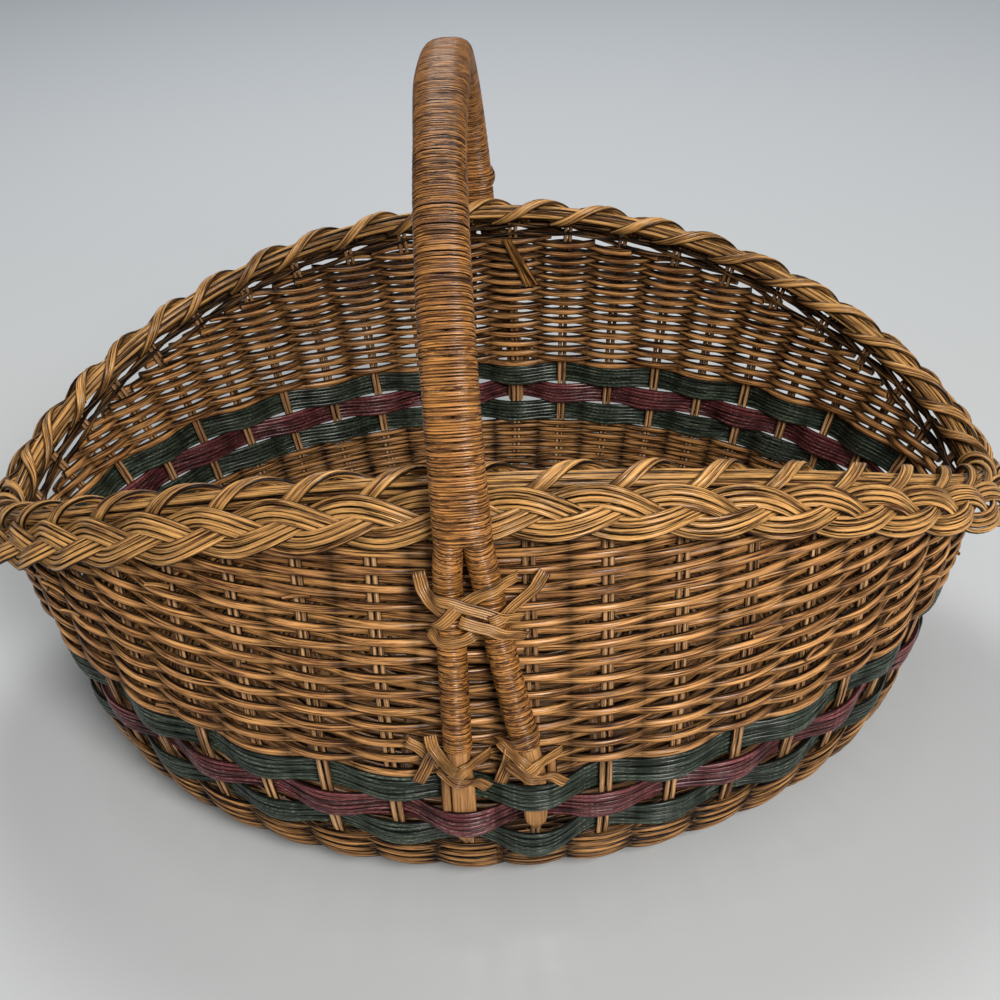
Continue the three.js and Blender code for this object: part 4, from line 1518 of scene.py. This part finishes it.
def loft(name: str, rings: Array, grain: Array, finish: Any) -> Any:
    """Skins open rings into a closed mesh object.

    Args:
        name: the piece's name.
        rings: points in millimetres, ring by ring.
        grain: the grain attribute in millimetres for each point.
        finish: its material.

    Returns:
        The object.
    """
    count, sides = rings.shape[:2]
    index = np.arange(count * sides).reshape(count, sides)
    beside = np.roll(index, -1, axis=1)
    quads = np.stack([index[:-1], beside[:-1], beside[1:], index[1:]], -1).reshape(-1, 4)
    faces = quads.tolist() + [index[0][::-1].tolist(), index[-1].tolist()]
    mesh = bpy.data.meshes.new(name)
    mesh.from_pydata((rings.reshape(-1, 3) * MM).tolist(), [], faces)
    mesh.update()
    points = mesh.vertices
    if sum(points[p.vertices[0]].co.dot(p.normal) * p.area for p in mesh.polygons) < 0:
        mesh.flip_normals()
    write(mesh, "grain", grain.reshape(-1, 3) * MM)
    for key, value in (("tint", 0.6), ("stain", 0.0), ("crown", 1.0)):
        write(mesh, key, np.full(count * sides, value))
    mesh.polygons.foreach_set("use_smooth", [True] * (len(faces) - 2) + [False] * 2)
    mesh.materials.append(finish)
    return linked(name, mesh)


# Lashings


@dataclass(frozen=True)
class Tie:
    """One strip of a lashing: its layer, and its course as (x, height) from the lashing's place."""

    layer: int
    course: tuple[tuple[float, float], ...]


UPPER_TIES = {
    "rising": (
        Tie(1, ((-22.6, 145.7), (-12.0, 156.1), (-3.5, 160.8), (3.3, 162.4), (10.6, 161.6))),
        Tie(3, ((-0.3, 150.6), (4.7, 151.7), (12.6, 153.6), (17.7, 154.8), (21.4, 159.5))),
        Tie(0, ((-23.5, 143.3), (-20.4, 141.6), (-15.8, 142.2), (-10.8, 142.8), (-6.9, 144.6))),
    ),
    "falling": (
        Tie(0, ((-26.9, 164.6), (-25.4, 158.6), (-22.5, 154.8), (-17.1, 153.5))),
        Tie(2, ((-21.8, 158.7), (-16.0, 159.0), (-10.1, 156.4), (-0.1, 153.3), (11.9, 146.4))),
        Tie(3, ((-11.5, 151.4), (-6.0, 149.3), (-0.4, 147.9), (6.3, 144.3), (13.1, 139.4))),
    ),
}
LOWER_TIES = {
    (Side.LEFT, "rising"): (
        Tie(1, ((-17.1, -16.2), (-13.0, -8.0), (-9.5, 1.1))),
        Tie(2, ((-3.0, -8.5), (1.8, -1.8), (6.9, -1.8), (12.5, -1.7))),
    ),
    (Side.LEFT, "falling"): (
        Tie(0, ((-20.2, 3.1), (-16.0, 0.7), (-11.5, -3.8), (-8.7, -9.6))),
        Tie(3, ((-10.6, 8.9), (-9.7, 3.8), (-6.3, 0.3), (-0.2, -2.7))),
        Tie(4, ((-7.5, -5.9), (-3.8, -8.6), (1.0, -9.4), (11.3, -18.4))),
    ),
    (Side.RIGHT, "rising"): (
        Tie(0, ((-11.9, 3.9), (-6.3, 7.7), (-0.5, 10.3), (3.9, 10.3))),
        Tie(1, ((-12.0, -18.0), (-8.8, -9.4), (-6.9, 2.8))),
        Tie(3, ((-0.6, -4.5), (3.4, -1.2), (7.9, -1.6), (13.2, -1.7))),
    ),
    (Side.RIGHT, "falling"): (
        Tie(2, ((-11.1, 4.8), (-7.3, 2.0), (-3.1, 0.8), (1.8, -4.0))),
        Tie(4, ((-8.3, -5.8), (-4.5, -7.6), (2.5, -8.2), (14.5, -17.3))),
    ),
}


@dataclass
class Lashing(SubAssembly):
    """Flat strips of cane that cross over the legs at one face."""

    handle: Handle
    face: Face
    ridges: int = 5
    ridge: float = 1.08
    step: float = 0.65
    section: Section = Section(0.6, 0.4)
    back_shift: float = 9.0
    lower_height: float = 92.0
    wall_clear: float = 4.6
    samples: int = 26
    lift: float = 0.5
    tucked: float = 0.6
    # painted shade at the tucked ends of a strip
    end_stain: float = 0.25
    inner_top: float = 171.0

    def _surface(self, x: Array, z: Array, legs: Sequence[Side]) -> Array:
        """How far out the wall or a leg reaches on the legs' side.

        Args:
            x: places along the basket.
            z: their heights above the floor.
            legs: the legs that the strip lies on.

        Returns:
            One distance for each place.
        """
        flat = self.shop.form.reach(z) + self.wall_clear
        out = flat.copy()
        wrap_end = self.handle.wrap_end
        radius = np.interp(z, (74, 88, wrap_end - 3, wrap_end), (2.3, 5.0, 5.3, 6.1))
        lines = [self.handle.leg_line(leg, self.face, z) for leg in legs]
        for line in lines:
            away, far = np.abs(x - line[:, 0]), np.abs(line[:, 1])
            depth = np.sqrt(np.clip(radius**2 - np.minimum(away, radius) ** 2, 0, None))
            slack = far + radius - 0.55 * np.clip(away - 2.0, 0, None) ** 1.15
            beside = np.maximum(flat, slack - 2.0)
            out = np.maximum(out, np.where(away < radius, far + depth, beside))
        if len(lines) > 1:
            left, right = lines
            share = (x - left[:, 0]) / (right[:, 0] - left[:, 0])
            taut = np.abs(left[:, 1]) * (1 - share) + np.abs(right[:, 1]) * share + radius
            out = np.where((share > 0) & (share < 1), np.maximum(out, taut), out)
        return out

    def strip(
        self, tie: Tie, origin: tuple[float, float], legs: Sequence[Side], rng: np.random.Generator
    ) -> list[Strand]:
        """The parallel ridges of one strip.

        Args:
            tie: the strip.
            origin: the lashing's place along the basket and its height.
            legs: the legs that the strip lies on.
            rng: random source.

        Returns:
            Their strands.
        """
        knots = np.array(tie.course) + origin
        run = run_of(knots)
        at = np.linspace(0, run[-1], self.samples)
        flat = points_at(at, run, knots)
        for _ in range(3):
            flat[1:-1] = (flat[:-2] + 2 * flat[1:-1] + flat[2:]) / 4
        out = self._surface(flat[:, 0], flat[:, 1], legs)
        for _ in range(3):
            out[1:-1] = np.maximum(out[1:-1], (out[:-2] + out[2:]) / 2)
        out = out + self.lift + tie.layer * self.step
        out[[0, -1]] -= self.tucked
        way = float(self.face.value)
        line = np.stack([flat[:, 0], way * out, flat[:, 1]], -1)
        ahead = unit(np.gradient(line, axis=0))
        facing = unit(np.array([0, way, 0.0]) - ahead * (ahead[:, 1:2] * way))
        across = np.cross(ahead, facing)
        share = at / at[-1]
        # Painted shade at both ends of a strip, where it is tucked under.
        most = self.end_stain
        stain = np.clip(most - np.minimum(share, 1 - share) * 3, 0, most)
        tint = rng.random()
        strands = []
        for ridge in range(self.ridges):
            points = line + across * ((ridge - (self.ridges - 1) / 2) * self.ridge)
            shade = float(np.clip(tint + rng.uniform(-0.12, 0.12), 0, 1))
            strands.append(Strand(points, facing, shade, stain))
        return strands

    def inner_end(self, rng: np.random.Generator) -> list[Strand]:
        """The knotted end of the back lashing, inside the wall.

        Args:
            rng: random source.

        Returns:
            Its strands.
        """
        top = self.inner_top
        strands = []
        for shift in (-2.6, -0.9, 0.9, 2.6):
            z = np.linspace(top, 136.0 + rng.uniform(-3, 3), 14)
            x = 12.0 + shift * (0.5 + (top - z) / 50) + (top - z) * 0.38
            out = self.shop.form.reach(z) - 5.0 - 0.3 * abs(shift)
            points = np.stack([x, out, z], -1)
            facing = np.array([0.0, -1.0, 0.0])
            strands.append(Strand(points, facing, rng.random() * 0.5, 0.15, 2.2))
        return strands

    def dress(self) -> None:
        """Makes the upper and the lower ties of this face."""
        face, rng = self.face, self.shop.rng(60 + self.face.value)
        back = face is Face.BACK

        def lay(
            ties: Sequence[Tie], origin: tuple[float, float], legs: Sequence[Side]
        ) -> list[Strand]:
            """Every strip of one lashing."""
            return [s for tie in ties for s in self.strip(tie, origin, legs, rng)]

        pieces = []
        for way, ties in UPPER_TIES.items():
            laid = lay(ties, (self.back_shift if back else 0.0, 0.0), tuple(Side))
            if back and way == "falling":
                laid += self.inner_end(rng)
            pieces.append(("upper", f"{face.word}_{way}", laid))
        for (side, way), ties in LOWER_TIES.items():
            centre = self.handle.leg_line(side, face, np.array([self.lower_height]))[0, 0]
            laid = lay(ties, (centre, self.lower_height), (side,))
            pieces.append(("lower", f"{face.word}_{side.word}_{way}", laid))
        for level, name, laid in pieces:
            node = f"{level}_lashing_{name}"
            self.shop.piece(f"{level}_tie_{name}", laid, self.section, Look.TIE, node)


# Base


@dataclass
class Base(SubAssembly):
    """The oval woven base on its long and cross sticks."""

    pitch: float = 2.85
    first: float = 5.0
    last: float = 139.5
    straight: float = 37.0
    half_length: float = 178.0
    half_width: float = 141.0
    radius: float = 1.66
    row_height: float = 3.2
    rise: float = 1.2
    stick_height: float = 4.2
    cross_reach: float = 118.0
    long_reach: float = 150.0
    cross_xs: tuple[float, ...] = (-92.0, -46.0, 0.0, 46.0, 92.0)
    long_ys: tuple[float, ...] = (-16.0, 0.0, 16.0)
    cross_section: Section = Section(4.0, 2.5, 10)
    long_section: Section = Section(2.5, 1.1, 8)

    def _crossings(self, a: float, b: float) -> list[float]:
        """Turns where an oval row crosses the sticks.

        Args:
            a: the row's half length.
            b: its half width.

        Returns:
            The turns, in order.
        """
        found = [math.acos(x / a) for x in self.cross_xs if abs(x) < a * 0.985]
        found += [2 * math.pi - turn for turn in found]
        for y in self.long_ys:
            if abs(y) < b * 0.985:
                away = math.asin(y / b)
                found += [away % (2 * math.pi), math.pi - away]
        return sorted(found)

    def rows(self) -> list[Strand]:
        """Oval rows that pass over and under the sticks.

        Returns:
            Their strands.
        """
        rng = self.shop.rng(80)
        turn = np.linspace(0, 2 * np.pi, 240, endpoint=False)
        strands = []
        reach = self.first
        while reach < self.last + 0.4:
            a, b = reach + self.straight, reach
            crossings = self._crossings(a, b)
            closed = np.array(crossings + [crossings[0] + 2 * np.pi])
            at = np.where(turn < closed[0], turn + 2 * np.pi, turn)
            count = np.interp(at, closed, np.arange(len(closed)))
            wave = np.cos(np.pi * (count + len(strands)))
            x = a * np.cos(turn) * self.half_length / (self.last + self.straight)
            y = b * np.sin(turn) * self.half_width / self.last
            uneven = wobble(rng, turn / (2 * np.pi), 0.1, (3, 7))
            z = self.row_height + self.rise * wave + uneven
            # Painted shade where a row passes under the sticks.
            stain = np.clip(0.5 - wave, 0, 1) * 0.35
            points = np.stack([x, y, z], -1)
            strands.append(Strand(points, UP, rng.random(), stain, closed=True))
            reach += self.pitch
        return strands

    def dress(self) -> None:
        """Makes the rows and the sticks."""
        shop, rng = self.shop, self.shop.rng(81)
        section = Section(self.radius, self.radius * 0.93, 8)
        shop.piece("base_rows", self.rows(), section, Look.BASE, "base_weave")
        sticks = []
        for i, x in enumerate(self.cross_xs):
            reach = self.cross_reach * math.sqrt(1 - (x / (self.half_length * 1.02)) ** 2)
            y = np.linspace(-reach, reach, 30)
            sticks.append((f"cross_stick_{i + 1}", x, y, self.cross_section))
        for i, y in enumerate(self.long_ys):
            x = np.linspace(-self.long_reach, self.long_reach, 40)
            sticks.append((f"long_stick_{i + 1}", x, y, self.long_section))
        for name, x, y, section in sticks:
            points = np.stack(np.broadcast_arrays(x, y, self.stick_height), -1)
            strand = Strand(points, UP, rng.random(), 0.1)
            shop.piece(name, [strand], section, Look.BASE, f"base_{name}")


# Studio


def stand(made: Any, place: Sequence[float], axes: Sequence[Array]) -> None:
    """Places an object by its three directions.

    Args:
        made: the object.
        place: where it stands, in metres.
        axes: where its own x, y and z point.
    """
    turn = Matrix(np.stack(axes, -1).tolist()).to_4x4()
    made.matrix_world = Matrix.Translation(place) @ turn


@dataclass
class Studio:
    """Pale floor, soft light and the camera."""

    place: tuple[float, float, float] = (10.8, -614.9, 473.9)
    yaw: float = -0.012
    pitch: float = 0.559
    roll: float = -0.046
    focal_px: float = 1423.9
    picture: float = 1000.0
    sensor: float = 36.0
    basket_middle: float = 0.12
    room: float = 0.33
    lamp_size: float = 0.7
    floor_half: float = 4.0

    def camera(self) -> None:
        """Places the camera at the photograph's angle."""
        cy, sy = math.cos(self.yaw), math.sin(self.yaw)
        cp, sp = math.cos(self.pitch), math.sin(self.pitch)
        cr, sr = math.cos(self.roll), math.sin(self.roll)
        ahead = np.array([sy * cp, cy * cp, -sp])
        right = np.array([cy, -sy, 0.0])
        up = np.cross(right, ahead)
        data = bpy.data.cameras.new("camera")
        data.sensor_width = self.sensor
        data.sensor_fit = "HORIZONTAL"
        data.lens = self.sensor * self.focal_px / self.picture
        data.clip_start = 0.01
        camera = linked("camera", data)
        axes = (right * cr + up * sr, -right * sr + up * cr, -ahead)
        stand(camera, [v * MM for v in self.place], axes)
        bpy.context.scene.camera = camera

    def floor(self) -> None:
        """Makes the flat floor, a little bluer far behind the basket."""
        half = self.floor_half
        profile = (-half, -1.0, 0.0, 1.0, half)
        vertices = [(x, y, 0.0) for y in profile for x in (-half, half)]
        faces = [(2 * i, 2 * i + 1, 2 * i + 3, 2 * i + 2) for i in range(len(profile) - 1)]
        mesh = bpy.data.meshes.new("floor")
        mesh.from_pydata(vertices, [], faces)
        mesh.polygons.foreach_set("use_smooth", [True] * len(faces))
        material, nodes, inputs = new_material("pale_paper")
        place = nodes.add("ShaderNodeTexCoord").out("Object")
        soft = nodes.noise(place, 1.3, 1.0)
        near = nodes.mix(soft, colour(186, 189, 191), colour(191, 193, 193))
        depth = nodes.parted(place).out(1)
        tone = nodes.mix(depth.above(0.25, 1.5), near, colour(193, 199, 206))
        nodes.feed(inputs["Base Color"], tone)
        inputs["Roughness"].default_value = 0.7
        mesh.materials.append(material)
        linked("floor", mesh)

    def lamp(self, name: str, place: Sequence[float], power: float, tone: tuple) -> None:
        """One soft square lamp that looks at the basket.

        Args:
            name: its name.
            place: where it stands, in metres.
            power: its power in watts.
            tone: its colour.
        """
        data = bpy.data.lights.new(name, "AREA")
        data.shape = "SQUARE"
        data.size = self.lamp_size
        data.energy = power
        data.color = tone
        back = unit(np.array(place) - UP * self.basket_middle)
        side = unit(np.cross(UP, back))
        stand(linked(name, data), place, (side, np.cross(back, side), back))

    def light(self) -> None:
        """Sets the plain soft light."""
        world = bpy.data.worlds.new("room")
        world.use_nodes = True
        inputs = world.node_tree.nodes["Background"].inputs
        inputs["Color"].default_value = (0.96, 0.98, 1.0, 1.0)
        inputs["Strength"].default_value = self.room
        bpy.context.scene.world = world
        self.lamp("over", (-0.1, 1.0, 1.6), 15.0, (1.0, 0.99, 0.97))
        self.lamp("front", (0.6, -1.5, 1.35), 42.0, (1.0, 0.98, 0.95))

    def build(self) -> None:
        """Makes the whole studio."""
        self.camera()
        self.floor()
        self.light()
        bpy.context.scene.view_settings.view_transform = "Standard"


def main() -> None:
    """Builds the basket's looks on the frame."""
    logging.basicConfig(level=logging.INFO, format="%(message)s")
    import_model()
    materials = {look: finish.build(look.value[0]) for look, finish in FINISHES.items()}
    shop = Workshop(WallForm(), ReedSweeper(), materials)
    handle = Handle(shop)
    groups = [SideStakes(shop), SideWeave(shop), ColourBand(shop), Rim(shop), handle]
    groups += [Lashing(shop, handle, face) for face in Face]
    for group in (*groups, Base(shop)):
        group.dress()
    Studio().build()


if __name__ == "__main__":
    main()
